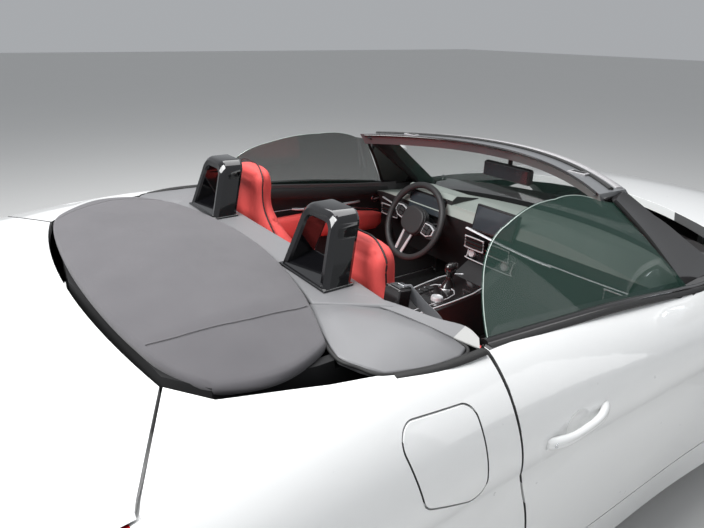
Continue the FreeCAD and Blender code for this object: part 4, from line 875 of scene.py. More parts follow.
@dataclass
class PathRepeat:
    """Places one small shape again and again along a path."""

    name: str
    shape: RepeatShape
    spacing: float
    size: Point
    finish: Finish

    def _tree(self) -> bpy.types.NodeTree:
        """Build the tree, with its sizes as named inputs."""
        tree = bpy.data.node_groups.new(self.name, "GeometryNodeTree")
        face = tree.interface
        face.new_socket("Geometry", in_out="INPUT", socket_type="NodeSocketGeometry")
        face.new_socket("Spacing", in_out="INPUT", socket_type="NodeSocketFloat")
        face.new_socket("Size", in_out="INPUT", socket_type="NodeSocketVector")
        face.new_socket("Geometry", in_out="OUTPUT", socket_type="NodeSocketGeometry")
        writer = NodeWriter(tree)
        source = writer.add("NodeGroupInput")
        sink = writer.add("NodeGroupOutput")
        resample = writer.add("GeometryNodeResampleCurve", mode="LENGTH")
        writer.join(source.outputs["Geometry"], resample.inputs["Curve"])
        writer.join(source.outputs["Spacing"], resample.inputs["Length"])
        if self.shape is RepeatShape.SLAT:
            seed = writer.add("GeometryNodeMeshCube")
            writer.join(source.outputs["Size"], seed.inputs["Size"])
            made = seed.outputs["Mesh"]
        else:
            if self.shape is RepeatShape.BOLT:
                seed = writer.add("GeometryNodeMeshCylinder", in_Vertices=6, in_Radius=0.5,
                                  in_Depth=1.0)
            else:
                seed = writer.add("GeometryNodeMeshUVSphere", in_Segments=6, in_Rings=5,
                                  in_Radius=0.5)
            grow = writer.add("GeometryNodeTransform")
            writer.join(seed.outputs["Mesh"], grow.inputs["Geometry"])
            writer.join(source.outputs["Size"], grow.inputs["Scale"])
            made = grow.outputs["Geometry"]
        place = writer.add("GeometryNodeInstanceOnPoints")
        writer.join(resample.outputs["Curve"], place.inputs["Points"])
        writer.join(made, place.inputs["Instance"])
        if self.shape is RepeatShape.STITCH:
            tangent = writer.add("GeometryNodeInputTangent")
            turn = writer.add("FunctionNodeAlignRotationToVector", axis="X")
            writer.join(tangent.outputs["Tangent"], turn.inputs["Vector"])
            writer.join(turn.outputs["Rotation"], place.inputs["Rotation"])
        real = writer.add("GeometryNodeRealizeInstances")
        writer.join(place.outputs["Instances"], real.inputs["Geometry"])
        coat = writer.add("GeometryNodeSetMaterial")
        coat.inputs["Material"].default_value = self.finish.build()
        writer.join(real.outputs["Geometry"], coat.inputs["Geometry"])
        writer.join(coat.outputs["Geometry"], sink.inputs["Geometry"])
        return tree

    def along(self, name: str, points: Sequence[Point], body: str, closed: bool = False,
              turn: Matrix | None = None) -> bpy.types.Object:
        """Run the repeat along points.

        Args:
            name: The new piece's name.
            points: The path.
            body: The body that carries it.
            closed: Whether the path closes.
            turn: Turns and moves the finished repeat to its place.

        Returns:
            The plain mesh piece.
        """
        curve = bpy.data.curves.new(name + "_path", "CURVE")
        curve.dimensions = "3D"
        spline = curve.splines.new("POLY")
        spline.points.add(len(points) - 1)
        for item, point in zip(spline.points, points):
            item.co = (*point, 1.0)
        spline.use_cyclic_u = closed
        guide = bpy.data.objects.new(name + "_path", curve)
        bpy.context.scene.collection.objects.link(guide)
        tree = self._tree()
        modifier = guide.modifiers.new("repeat", "NODES")
        modifier.node_group = tree
        for item in tree.interface.items_tree:
            if item.in_out == "INPUT" and item.name == "Spacing":
                modifier[item.identifier] = self.spacing
            if item.in_out == "INPUT" and item.name == "Size":
                modifier[item.identifier] = self.size
        depsgraph = bpy.context.evaluated_depsgraph_get()
        mesh = bpy.data.meshes.new_from_object(guide.evaluated_get(depsgraph))
        bpy.data.objects.remove(guide)
        if turn is not None:
            mesh.transform(turn)
        obj = bpy.data.objects.new(name, mesh)
        bpy.context.scene.collection.objects.link(obj)
        if not mesh.materials:
            paint(obj, self.finish)
        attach(obj, body)
        return obj


# The studio

@dataclass
class Studio:
    """Camera at the photograph's place, pale floor and soft lights."""

    eye: Point = (-1.6065, -1.5295, 1.5977)
    yaw: float = 34.951
    pitch: float = 22.008
    roll: float = 0.891
    focal_px: float = 581.48
    frame_px: float = 704.0

    def build(self) -> None:
        """Set up the whole studio."""
        self._camera()
        self._floor()
        self._lights()

    def _camera(self) -> None:
        """Camera looking forward and down across the car."""
        yaw, pitch, roll = (math.radians(v) for v in (self.yaw, self.pitch, self.roll))
        ahead = Vector((math.sin(yaw) * math.cos(pitch), math.cos(yaw) * math.cos(pitch),
                        -math.sin(pitch)))
        right = Vector((math.cos(yaw), -math.sin(yaw), 0.0))
        up = right.cross(ahead)
        side = right * math.cos(roll) + up * math.sin(roll)
        top = up * math.cos(roll) - right * math.sin(roll)
        data = bpy.data.cameras.new("camera")
        data.sensor_width = 36.0
        data.lens = self.focal_px / self.frame_px * data.sensor_width
        data.clip_start = 0.05
        camera = bpy.data.objects.new("camera", data)
        bpy.context.scene.collection.objects.link(camera)
        turn = Matrix((side, top, -ahead)).transposed().to_4x4()
        camera.matrix_world = Matrix.Translation(Vector(self.eye)) @ turn
        bpy.context.scene.camera = camera

    def _floor(self) -> None:
        """Pale floor far beyond the frame."""
        size = 40.0
        floor = mesh_object("studio_floor", [(-size, -size, -0.001), (size, -size, -0.001),
                                             (size, size, -0.001), (-size, size, -0.001)],
                            [(0, 1, 2, 3)], Finishes.FLOOR)

    def _lights(self) -> None:
        """A high key, a wide overhead panel, a low fill and a pale surround."""
        for name, place, aim, size, power in (
                ("key", (-3.5, 0.2, 4.3), (-0.5, 0, 0.8), 2.6, 270.0),
                ("overhead", (0.6, 1.2, 4.8), (0.0, 0, 0.8), 4.0, 150.0),
                ("fill", (4.2, -5.0, 2.4), (0, 0, 0.8), 3.0, 36.0)):
            data = bpy.data.lights.new(name, "AREA")
            data.shape = "SQUARE"
            data.size = size
            data.energy = power
            light = bpy.data.objects.new(name, data)
            bpy.context.scene.collection.objects.link(light)
            back = (Vector(place) - Vector(aim)).normalized()
            light.matrix_world = Matrix.Translation(Vector(place)) @ back.to_track_quat("Z",
                                                                                        "Y").to_matrix().to_4x4()
        world = bpy.data.worlds.new("surround")
        bpy.context.scene.world = world
        world.use_nodes = True
        shade = world.node_tree.nodes["Background"]
        shade.inputs["Color"].default_value = (0.93, 0.96, 1.0, 1.0)
        shade.inputs["Strength"].default_value = 0.42
        bpy.context.scene.view_settings.view_transform = "Standard"


# The painted body

@dataclass
class PaintedBody:
    """The white panels with rounded shut lines, and the pieces let into them."""

    bevel: float = 0.0009
    flap_bevel: float = 0.0007
    inward_y: float = 0.15
    flank_y: float = 0.72
    door_top_y: float = 0.806
    panels: tuple[str, ...] = ("bonnet", "boot_lid", "door_left", "door_right", "front_bumper",
                               "front_wing_left", "front_wing_right", "fuel_flap", "quarter_left",
                               "quarter_right", "rear_bumper", "sill_left", "sill_right",
                               "door_handle_left", "door_handle_right")

    def build(self) -> None:
        """Dress each panel."""
        for node in self.panels:
            width = self.flap_bevel if node == "fuel_flap" else self.bevel
            if node.startswith("door_handle"):
                width = 0.0
            obj = cad_copy(node, f"{node}_skin", Finishes.PAINT, width)
            if width:
                self._paint_shade_inside(obj)

    def _paint_shade_inside(self, obj: bpy.types.Object) -> None:
        """Paint shade dark on faces that look in, face down or line a shut; darken the door's inner top."""
        obj.data.materials.append(Finishes.EDGE.build())
        for face in obj.data.polygons:
            centre, normal = face.center, face.normal
            inward = (normal.y * centre.y < -0.25 * abs(centre.y) and abs(centre.y) > self.inward_y
                      and normal.z < 0.45)
            below = normal.z < -0.6 and centre.z > 0.30
            shut = (abs(normal.x) > 0.94 and abs(centre.y) > self.flank_y and -1.45 < centre.x < 1.9
                    and not obj.name.startswith("bonnet"))
            door_top = (obj.name.startswith("door_") and abs(centre.y) < self.door_top_y
                        and centre.z > 0.80 and normal.z > 0.3)
            # Inward, downward and shut faces get the dark finish as painted shade; the door top inside the glass
            # is darkened too.
            if inward or below or shut or door_top:
                face.material_index = 1


# The folded top's cover, the deck and the hoops

@dataclass
class CanvasCover:
    """The charcoal canvas over the folded top, rolled under at its edges."""

    front_x: float = -0.935
    front_sweep: float = 0.066
    rear_x: float = -1.408
    end_half: float = 0.640
    side_half: float = 0.694
    crown: float = 0.052
    edge_z: float = 1.006
    columns: int = 96
    rows: int = 56
    cloth: float = 0.003
    flat_length: float = 0.62
    mean_length: float = 0.60
    # Drop and outward step of each row of the hem
    hem: tuple[tuple[float, float], ...] = ((0.004, 0.004), (0.012, 0.0065), (0.022, 0.004),
                                            (0.030, -0.004))

    def _plan(self, u: float, v: float) -> tuple[float, float]:
        """Place on the cover from -1 to 1 across and 0 to 1 from front to rear."""
        bulge = math.sin(math.pi * v) ** 0.7 if 0 < v < 1 else 0.0
        y = u * (self.end_half + (self.side_half - self.end_half) * bulge)
        front = self.front_x - self.front_sweep * (y / 0.48) ** 2
        rear = self.rear_x + 0.05 * (y / 0.6) ** 2 + 0.050 * abs(u) ** 8
        return front + (rear - front) * v, y

    def _height(self, u: float, v: float) -> float:
        """Height of the canvas at a place, with its faint pull and wrinkles."""
        across = 1.0 - 0.42 * abs(u) ** 2.2 - 0.58 * max(0.0, abs(u) - 0.70) / 0.30
        along = math.sin(math.pi * (0.10 + 0.76 * v)) ** 0.8
        z = self.edge_z + self.crown * max(across, 0.0) * along
        x, y = self._plan(u, v)
        pull = noise.noise(Vector((x * 9.0, y * 3.2, 1.7))) * 0.0030
        pull += noise.noise(Vector((x * 30.0, y * 9.0, 4.1))) * 0.0009
        tight = min(1.0, 6.0 * min(v, 1.0 - v, 1.0 - abs(u)))
        return z + pull * tight - 0.012 * v ** 3

    def build(self) -> None:
        """Make the canvas, its seams and its hem."""
        grid: list[list[Vector]] = []
        for i in range(self.rows + 1):
            v = i / self.rows
            row = []
            for j in range(self.columns + 1):
                u = -1.0 + 2.0 * j / self.columns
                row.append(Vector((*self._plan(u, v), self._height(u, v))))
            grid.append(row)
        centre = Vector((-1.18, 0.0, 0.95))
        ring = grid[0] + [row[-1] for row in grid[1:]] + grid[-1][-2::-1] + [row[0]
                                                                             for row in grid[-2:0:-1]]
        verts = [p for row in grid for p in row]
        width = self.columns + 1
        faces = [(a * width + b, a * width + b + 1, (a + 1) * width + b + 1, (a + 1) * width + b)
                 for a in range(self.rows) for b in range(self.columns)]
        last = list(range(width)) + [i * width + width - 1 for i in range(1, self.rows + 1)]
        last += [self.rows * width + j for j in range(width - 2, -1, -1)]
        last += [i * width for i in range(self.rows - 1, 0, -1)]
        for drop, out in self.hem:
            start = len(verts)
            for point in ring:
                away = Vector((point.x - centre.x, (point.y - centre.y) * 0.55, 0)).normalized()
                lower = 1.0 if point.x < -1.05 else 0.6
                verts.append(point + away * out - Vector((0, 0, drop * lower)))
            fresh = list(range(start, len(verts)))
            faces += [(last[k], last[(k + 1) % len(ring)], fresh[(k + 1) % len(ring)], fresh[k])
                      for k in range(len(ring))]
            last = fresh
        canvas = mesh_object("canvas_cover", verts, faces, Finishes.CANVAS, 70)
        thick = canvas.modifiers.new("cloth", "SOLIDIFY")
        thick.thickness = self.cloth
        thick.offset = -1.0
        settle(canvas)
        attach(canvas, "chassis")
        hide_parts("soft_top_cover")
        for side, sign in SIDES:
            self._seam(side, sign)

    def _seam(self, side: str, sign: float) -> None:
        """The lapped seam near one side with its stitches, and the cord along the hem."""
        path = []
        for i in range(41):
            v = 0.02 + 0.96 * i / 40
            u = 0.735 * sign + 0.05 * sign * (1 - v)
            x, y = self._plan(u, v)
            path.append((x, y, self._height(u, v) + 0.0004))
        strip_piece(f"canvas_lap_{side}", path, 0.0022, Finishes.CANVAS, "chassis", flat=0.5,
                    steps=1)
        stitch = PathRepeat(f"canvas_stitch_{side}_rule", RepeatShape.STITCH, 0.006,
                            (0.0044, 0.0009, 0.0009),
                            Finishes.LINING)
        stitch.along(f"canvas_stitch_{side}",
                     [(x, y + 0.005 * sign, z - 0.0002) for x, y, z in path],
                     "chassis")
        hem = []
        for i in range(31):
            v = 0.10 + 0.84 * i / 30
            x, y = self._plan(sign, v)
            hem.append((x, y + 0.0025 * sign, self._height(sign, v) - 0.006))
        strip_piece(f"canvas_hem_{side}", hem, 0.0016, Finishes.DECK, "chassis", steps=1)


@dataclass
class RearDeck:
    """Satin deck trim, the two side covers and the strips along the opening."""

    deck_bevel: float = 0.007
    plate_thick: float = 0.020
    seal_step: float = 0.0035
    seal_radius: float = 0.0042
    belt_radius: float = 0.0125

    def build(self) -> None:
        """Dress the deck."""
        deck = cad_copy("deck_trim", "deck_trim_skin", Finishes.DECK, self.deck_bevel, 4)
        lining = cad_copy("top_well", "top_well_lining", Finishes.LINING)
        for side, sign in SIDES:
            self._side_cover(side, sign)

    def _side_cover(self, side: str, sign: float) -> None:
        """The raised plate beside the deck, with its crease and dark border."""
        outline = [(-0.990, 0.474, 1.003), (-0.905, 0.500, 1.003), (-0.846, 0.600, 1.000),
                   (-0.812, 0.690, 0.992),
                   (-0.790, 0.752, 0.981), (-0.788, 0.786, 0.975), (-0.818, 0.800, 0.972),
                   (-0.905, 0.801, 0.974),
                   (-1.000, 0.774, 0.981), (-1.030, 0.735, 0.987), (-1.052, 0.690, 0.993),
                   (-1.030, 0.590, 0.998)]
        crease = [(-0.962, 0.560, 1.008), (-0.895, 0.640, 1.003), (-0.850, 0.715, 0.993)]
        count = len(outline)
        work = bmesh.new()
        rim = [work.verts.new(p) for p in sided(outline, sign)]
        mid = [work.verts.new(p) for p in sided(crease, sign)]
        order = [(0, 1, "m0"), (1, 2, "m0"), ("m0", 2, "m1"), (2, 3, "m1"), ("m1", 3, "m2"),
                 (3, 4, "m2"),
                 (4, 5, "m2"), (5, 6, "m2"), (6, 7, "m2"), ("m2", 7, "m1"), (7, 8, "m1"),
                 (8, 9, "m1"),
                 ("m1", 9, "m0"), (9, 10, "m0"), (10, 11, "m0"), (11, 0, "m0")]
        for triple in order:
            work.faces.new([mid[int(key[1])] if isinstance(key, str) else rim[key]
                            for key in triple])
        base = [work.verts.new((x, y, z - self.plate_thick)) for x, y, z in sided(outline, sign)]
        for i in range(count):
            j = (i + 1) % count
            work.faces.new((rim[i], base[i], base[j], rim[j]))
        work.faces.new(base)
        bmesh.ops.recalc_face_normals(work, faces=work.faces)
        mesh = bpy.data.meshes.new(f"side_cover_{side}_skin")
        work.to_mesh(mesh)
        work.free()
        obj = bpy.data.objects.new(mesh.name, mesh)
        bpy.context.scene.collection.objects.link(obj)
        paint(obj, Finishes.DECK)
        rounded(obj, 0.004, 0, 3, 12.0)
        tidy_mesh(obj, 28)
        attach(obj, "chassis")
        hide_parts(f"side_cover_{side}")
        middle = Vector((-0.92, 0.66 * sign, 0.0))
        seal = []
        step = self.seal_step
        for x, y, z in sided(outline, sign):
            away = Vector((x, y, 0.0)) - middle
            away.normalize()
            seal.append((x + step * away.x, y + step * away.y, z - step))
        strip_piece(f"side_cover_seal_{side}", seal, self.seal_radius, Finishes.RUBBER, "chassis",
                    True, steps=5)
        belt = [(-0.985, 0.790, 0.9740), (-0.900, 0.8115, 0.9745), (-0.830, 0.8165, 0.9735),
                (-0.7640, 0.8145, 0.9720)]
        strip_piece(f"quarter_belt_{side}", sided(belt, sign), self.belt_radius, Finishes.RUBBER,
                    "chassis", flat=0.5, sides=10)


@dataclass
class RollHoop:
    """Piano-black hoop: an inverted U with a grey bevel round its rear face."""

    centre_y: float
    base: Point = (-0.934, 0.0, 1.008)
    lean: float = 18.0
    half_base: float = 0.113
    half_top: float = 0.084
    height: float = 0.178
    depth: float = 0.080
    bar: float = 0.032

    def _outline(self, inset: float, arc: int = 8) -> list[tuple[float, float]]:
        """Half-round cornered U from the left foot to the right foot, inset by an amount."""
        top = self.height - inset
        wide = self.half_base - inset
        narrow = self.half_top - inset * 0.92
        radius = max(0.044 - inset * 0.6, 0.010)
        points = [(-wide + (wide - narrow) * t, (top - radius) * t)
                  for t in (0, 0.3, 0.6, 0.85, 1.0)]
        for k in range(1, arc + 1):
            turn = math.pi / 2 * k / arc
            points.append((-narrow + radius - radius * math.cos(turn),
                           top - radius + radius * math.sin(turn)))
        return points + [(-y, z) for y, z in reversed(points)]

    def build(self, name: str, node: str) -> None:
        """Make the hoop, its grey bevel, its low plinth and the ramp before it."""
        lean = math.radians(self.lean)

        def place(y: float, z: float, t: float) -> Vector:
            """A point of the hoop, leaned forward with its height."""
            return Vector((self.base[0] + t + math.tan(lean) * z, self.centre_y + y,
                           self.base[2] + z))

        # Inset from the outline, place along X
        bands = [(self.bar, 0.010), (self.bar - 0.005, 0.003), (0.012, 0.000), (0.004, 0.006),
                 (0.0, 0.014),
                 (0.0, self.depth - 0.012), (0.004, self.depth - 0.003), (0.010, self.depth),
                 (self.bar - 0.006, self.depth), (self.bar, self.depth - 0.008)]
        verts: list[Vector] = []
        for inset, t in bands:
            verts += [place(y, z, t) for y, z in self._outline(inset)]
        count = len(self._outline(0.0))
        faces = loops_to_faces(len(bands), count, False, True)
        obj = mesh_object(name, verts, faces, Finishes.HOOP, 25)
        obj.data.materials.append(Finishes.HOOP_FACE.build())
        for face in obj.data.polygons:
            if face.normal.x < -0.55:
                face.material_index = 1
        base_z = self.base[2]
        outer = self.half_base + 0.002
        fairing = [(-outer, 0.0, -0.004), (outer, 0.0, -0.004), (outer - 0.002, 0.0, 0.086),
                   (-outer + 0.002, 0.0, 0.086)]
        foot = [Vector((self.base[0] + t, self.centre_y + y, base_z + z)) for y, z, t in fairing]
        foot += [p + Vector((0.002, 0, 0.006)) for p in foot]
        inner = [(-self.half_base + 0.02, 0.010, 0.002), (self.half_base - 0.02, 0.010, 0.002),
                 (self.half_base - 0.034, 0.042, 0.080), (-self.half_base + 0.034, 0.042, 0.080)]
        ramp = [Vector((self.base[0] + t, self.centre_y + y, base_z + z)) for y, z, t in inner]
        ramp += [p - Vector((0, 0, 0.012)) for p in ramp]
        plinth = rounded(mesh_object(name + "_plinth", foot, prism_faces(4), Finishes.HOOP), 0.003)
        slope = rounded(mesh_object(name + "_ramp", ramp, prism_faces(4), Finishes.HOOP), 0.003)
        whole = joined(name, [obj, plinth, slope])
        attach(whole, "chassis")
        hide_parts(node)


# Seats

def puffed(obj: bpy.types.Object, voxel: float, cap: float,
           pressure: float = 4.0) -> bpy.types.Object:
    """Swell a closed form as stuffed leather does, with cloth under pressure.

    Args:
        obj: The closed form.
        voxel: Size of the remeshed faces, in metres.
        cap: The most that a point may move, in metres.
        pressure: The cloth's inner pressure.

    Returns:
        The same object, remeshed and swollen.
    """
    remesh = obj.modifiers.new("even", "REMESH")
    remesh.mode = "VOXEL"
    remesh.voxel_size = voxel
    settle(obj)
    for face in obj.data.polygons:
        face.use_smooth = True
    rest = [v.co.copy() for v in obj.data.vertices]
    cloth = obj.modifiers.new("cloth", "CLOTH")
    cloth.settings.use_pressure = True
    cloth.settings.uniform_pressure_force = pressure
    cloth.settings.effector_weights.gravity = 0.0
    cloth.settings.quality = 5
    cloth.settings.tension_stiffness = 30.0
    cloth.settings.compression_stiffness = 30.0
    cloth.settings.bending_stiffness = 2.0
    cloth.point_cache.frame_start = 1
    cloth.point_cache.frame_end = 20
    scene = bpy.context.scene
    for number in range(1, 21):
        scene.frame_set(number)
    depsgraph = bpy.context.evaluated_depsgraph_get()
    swollen = obj.evaluated_get(depsgraph).to_mesh()
    moved = [v.co.copy() for v in swollen.vertices]
    obj.evaluated_get(depsgraph).to_mesh_clear()
    obj.modifiers.clear()
    scene.frame_set(1)
    for vertex, before, after in zip(obj.data.vertices, rest, moved):
        step = after - before
        if step.length > cap:
            step *= cap / step.length
        vertex.co = before + step
    obj.data.update()
    return obj


def groove(obj: bpy.types.Object, distance: Callable[[Vector, Vector], float], width: float,
           depth: float) -> None:
    """Press a sewn channel into a padded mesh.

    Args:
        obj: The padded mesh.
        distance: Gives a point's distance from the channel from its place and normal.
        width: Half width of the channel, in metres.
        depth: Its depth, in metres.
    """
    for vertex in obj.data.vertices:
        away = distance(vertex.co, vertex.normal) / width
        if abs(away) < 3.0:
            vertex.co -= vertex.normal * (depth * math.exp(-away * away))
    obj.data.update()


@dataclass
class BucketSeat:
    """Red leather seat: cushion, reclined back that narrows into its headrest, dark piping."""

    side: str
    centre_y: float
    forward: float = 0.0
    rise: float = 0.0
    upright: float = 0.0
    voxel: float = 0.008
    back_insert: float = 0.150
    back_step: float = 0.062
    cushion_insert: float = 0.158
    cushion_step: float = 0.060
    # Height, half width, front x and rear x of each level of the back
    back_rows: tuple[tuple[float, float, float, float], ...] = (
        (0.42, 0.208, -0.550, -0.640), (0.50, 0.236, -0.553, -0.664), (0.60, 0.252, -0.566, -0.690),
        (0.70, 0.255, -0.592, -0.718), (0.79, 0.247, -0.622, -0.745), (0.86, 0.212, -0.672, -0.770),
        (0.91, 0.172, -0.700, -0.784), (0.95, 0.134, -0.715, -0.790),
        (0.985, 0.116, -0.718, -0.792),
        (1.03, 0.112, -0.713, -0.794), (1.068, 0.110, -0.717, -0.794),
        (1.089, 0.094, -0.720, -0.780),
        (1.101, 0.062, -0.732, -0.776))

    def _at(self, x: float, y: float, z: float) -> Vector:
        """A seat point at its place in the car."""
        lift = self.rise * min(1.0, max(0.0, (z - 0.30) / 0.15))
        tilt = self.upright * max(0.0, (z - 0.55) / 0.55)
        return Vector((x + self.forward + tilt, self.centre_y + y, z + lift))

    def _ring(self, row: tuple[float, float, float, float], count: int = 40) -> list[Vector]:
        """One level of the back: full bolsters in front, a rounder shell behind."""
        z, half, front, rear = row
        middle, deep = 0.5 * (front + rear), 0.5 * (front - rear)
        points = []
        for c, s in circle(count):
            y = half * bulged(c, 0.72)
            x = middle + deep * bulged(s, 0.62 if s > 0 else 0.78)
            if s > 0 and z < 0.93:
                hollow = max(0.0, 1.0 - (abs(y) / (0.66 * half)) ** 4)
                x -= 0.034 * hollow * min(1.0, (0.95 - z) / 0.12)
            points.append(self._at(x, y, z))
        return points

    def build(self) -> None:
        """Make the whole seat."""
        back = self._back()
        cushion = self._cushion()
        base = self._base()
        name = f"seat_{self.side}"
        for piece, fill in ((back, 0.75), (cushion, 0.7)):
            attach(piece, "chassis")
        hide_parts(name)
        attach(base, "chassis")
        self._trim()

    def _back(self) -> bpy.types.Object:
        """The swollen back with its sewn channels."""
        rings = [self._ring(row) for row in self.back_rows]
        back = rounded(lofted(f"seat_{self.side}_back", rings, Finishes.LEATHER, 80), 0.0, 1)
        puffed(back, self.voxel, 0.006)
        y0 = self.centre_y
        lift = self.rise

        def insert_edge(p: Vector, n: Vector) -> float:
            """Distance from the seam between the middle panel and a bolster."""
            if n.x < 0.25 or p.z - lift > 1.00:
                return FAR_OFF
            return abs(p.y - y0) - self.back_insert

        def channel(p: Vector, n: Vector) -> float:
            """Distance from the nearest level channel of the middle panel."""
            if n.x < 0.25 or abs(p.y - y0) > self.back_insert - 0.004 or p.z - lift > 0.91:
                return FAR_OFF
            step = (p.z - lift - 0.50) / self.back_step
            return (step - round(step)) * self.back_step

        def shell_seam(p: Vector, n: Vector) -> float:
            """Distance from the seams behind: two upright, and one across between them."""
            if n.x > -0.2 or p.z - lift > 1.078:
                return FAR_OFF
            across = abs(p.z - lift - 1.064) if abs(p.y - y0) < 0.078 else FAR_OFF
            return min(abs(abs(p.y - y0) - 0.078), across)

        groove(back, insert_edge, 0.007, 0.006)
        groove(back, channel, 0.006, 0.0045)
        groove(back, shell_seam, 0.0065, 0.0045)
        return back

    def _cushion(self) -> bpy.types.Object:
        """The swollen cushion with raised side rolls."""
        rows = []
        # Place along X, top, underside and half width of each section
        for x, top, low, half in ((-0.075, 0.405, 0.365, 0.205), (-0.062, 0.470, 0.360, 0.228),
                                  (-0.085, 0.506, 0.355, 0.240), (-0.16, 0.512, 0.350, 0.247),
                                  (-0.28, 0.500, 0.345, 0.252), (-0.40, 0.484, 0.340, 0.250),
                                  (-0.50, 0.474, 0.340, 0.240), (-0.545, 0.440, 0.345, 0.220)):
            ring = []
            mid, tall = 0.5 * (top + low), 0.5 * (top - low)
            for c, s in circle(32):
                y = half * bulged(c, 0.55)
                z = mid + tall * bulged(s, 0.5)
                if s > 0:
                    z += 0.030 * min(1.0, (abs(y) / half) ** 4) - 0.008 * (1 - (abs(y) / half) ** 2)
                ring.append(self._at(x, y, z))
            rows.append(ring)
        cushion = rounded(lofted(f"seat_{self.side}_cushion", rows, Finishes.LEATHER, 80), 0.0, 1)
        puffed(cushion, self.voxel, 0.007)
        y0, forward = self.centre_y, self.forward

        def insert_edge(p: Vector, n: Vector) -> float:
            """Distance from the seam between the middle panel and a side roll."""
            return abs(p.y - y0) - self.cushion_insert if n.z > 0.2 else FAR_OFF

        def channel(p: Vector, n: Vector) -> float:
            """Distance from the nearest channel across the middle panel."""
            if n.z < 0.3 or abs(p.y - y0) > self.cushion_insert - 0.003 or p.x - forward < -0.43:
                return FAR_OFF
            step = (p.x - forward + 0.12) / self.cushion_step
            return (step - round(step)) * self.cushion_step

        groove(cushion, insert_edge, 0.007, 0.006)
        groove(cushion, channel, 0.006, 0.004)
        return cushion

    def _base(self) -> bpy.types.Object:
        """Dark pan and side shields on two steel runners."""
        outline = [(-0.12, 0.37), (-0.53, 0.37), (-0.60, 0.43), (-0.64, 0.56), (-0.585, 0.56),
                   (-0.52, 0.42),
                   (-0.12, 0.395)]
        pieces = []
        for sign in (-1.0, 1.0):
            points = [self._at(x, sign * 0.236, z) for x, z in outline]
            verts = points + [p + Vector((0, 0.020 * sign, 0)) for p in points]
            pieces.append(rounded(mesh_object("shield", verts, prism_faces(len(points)),
                                              Finishes.TRIM), 0.006))
        rail_top = 0.225
        for sign in (-1.0, 1.0):
            front, rear = (self._at(x, sign * 0.17, 0.195) for x in (-0.10, -0.56))
            pieces.append(box_between("rail", (front.x, front.y - 0.022, 0.192),
                                      (rear.x, rear.y + 0.022, rail_top), Finishes.STEEL, 0.003))
        low, high = self._at(-0.50, -0.16, 0.32), self._at(-0.14, 0.16, 0.345)
        pieces.append(box_between("pan", (low.x, low.y, rail_top), high, Finishes.TRIM, 0.010))
        return joined(f"seat_{self.side}_base", pieces)

    def _side_piping(self, sign: float) -> list[Vector]:
        """Points of the piping up one side of the back's shell."""
        path = []
        for z, half, front, rear in self.back_rows[1:-2]:
            middle, deep = 0.5 * (front + rear), 0.5 * (front - rear)
            x = rear + 0.026
            turn = min(1.0, (middle - x) / deep) ** (1.0 / 0.78)
            y = half * (1.0 - turn * turn) ** 0.36
            path.append(self._at(x - 0.001, sign * (y + 0.0030), z))
        return path

    def _trim(self) -> None:
        """Dark piping up one side of the back's shell, over its top and down the other."""
        top = [self._at(-0.764, 0.060, 1.105), self._at(-0.762, 0.0, 1.109),
               self._at(-0.764, -0.060, 1.105)]
        hoop = self._side_piping(1.0) + top + self._side_piping(-1.0)[::-1]
        strip_piece(f"seat_{self.side}_piping", hoop, 0.0026, Finishes.PIPING, "chassis", steps=5)


# Cabin

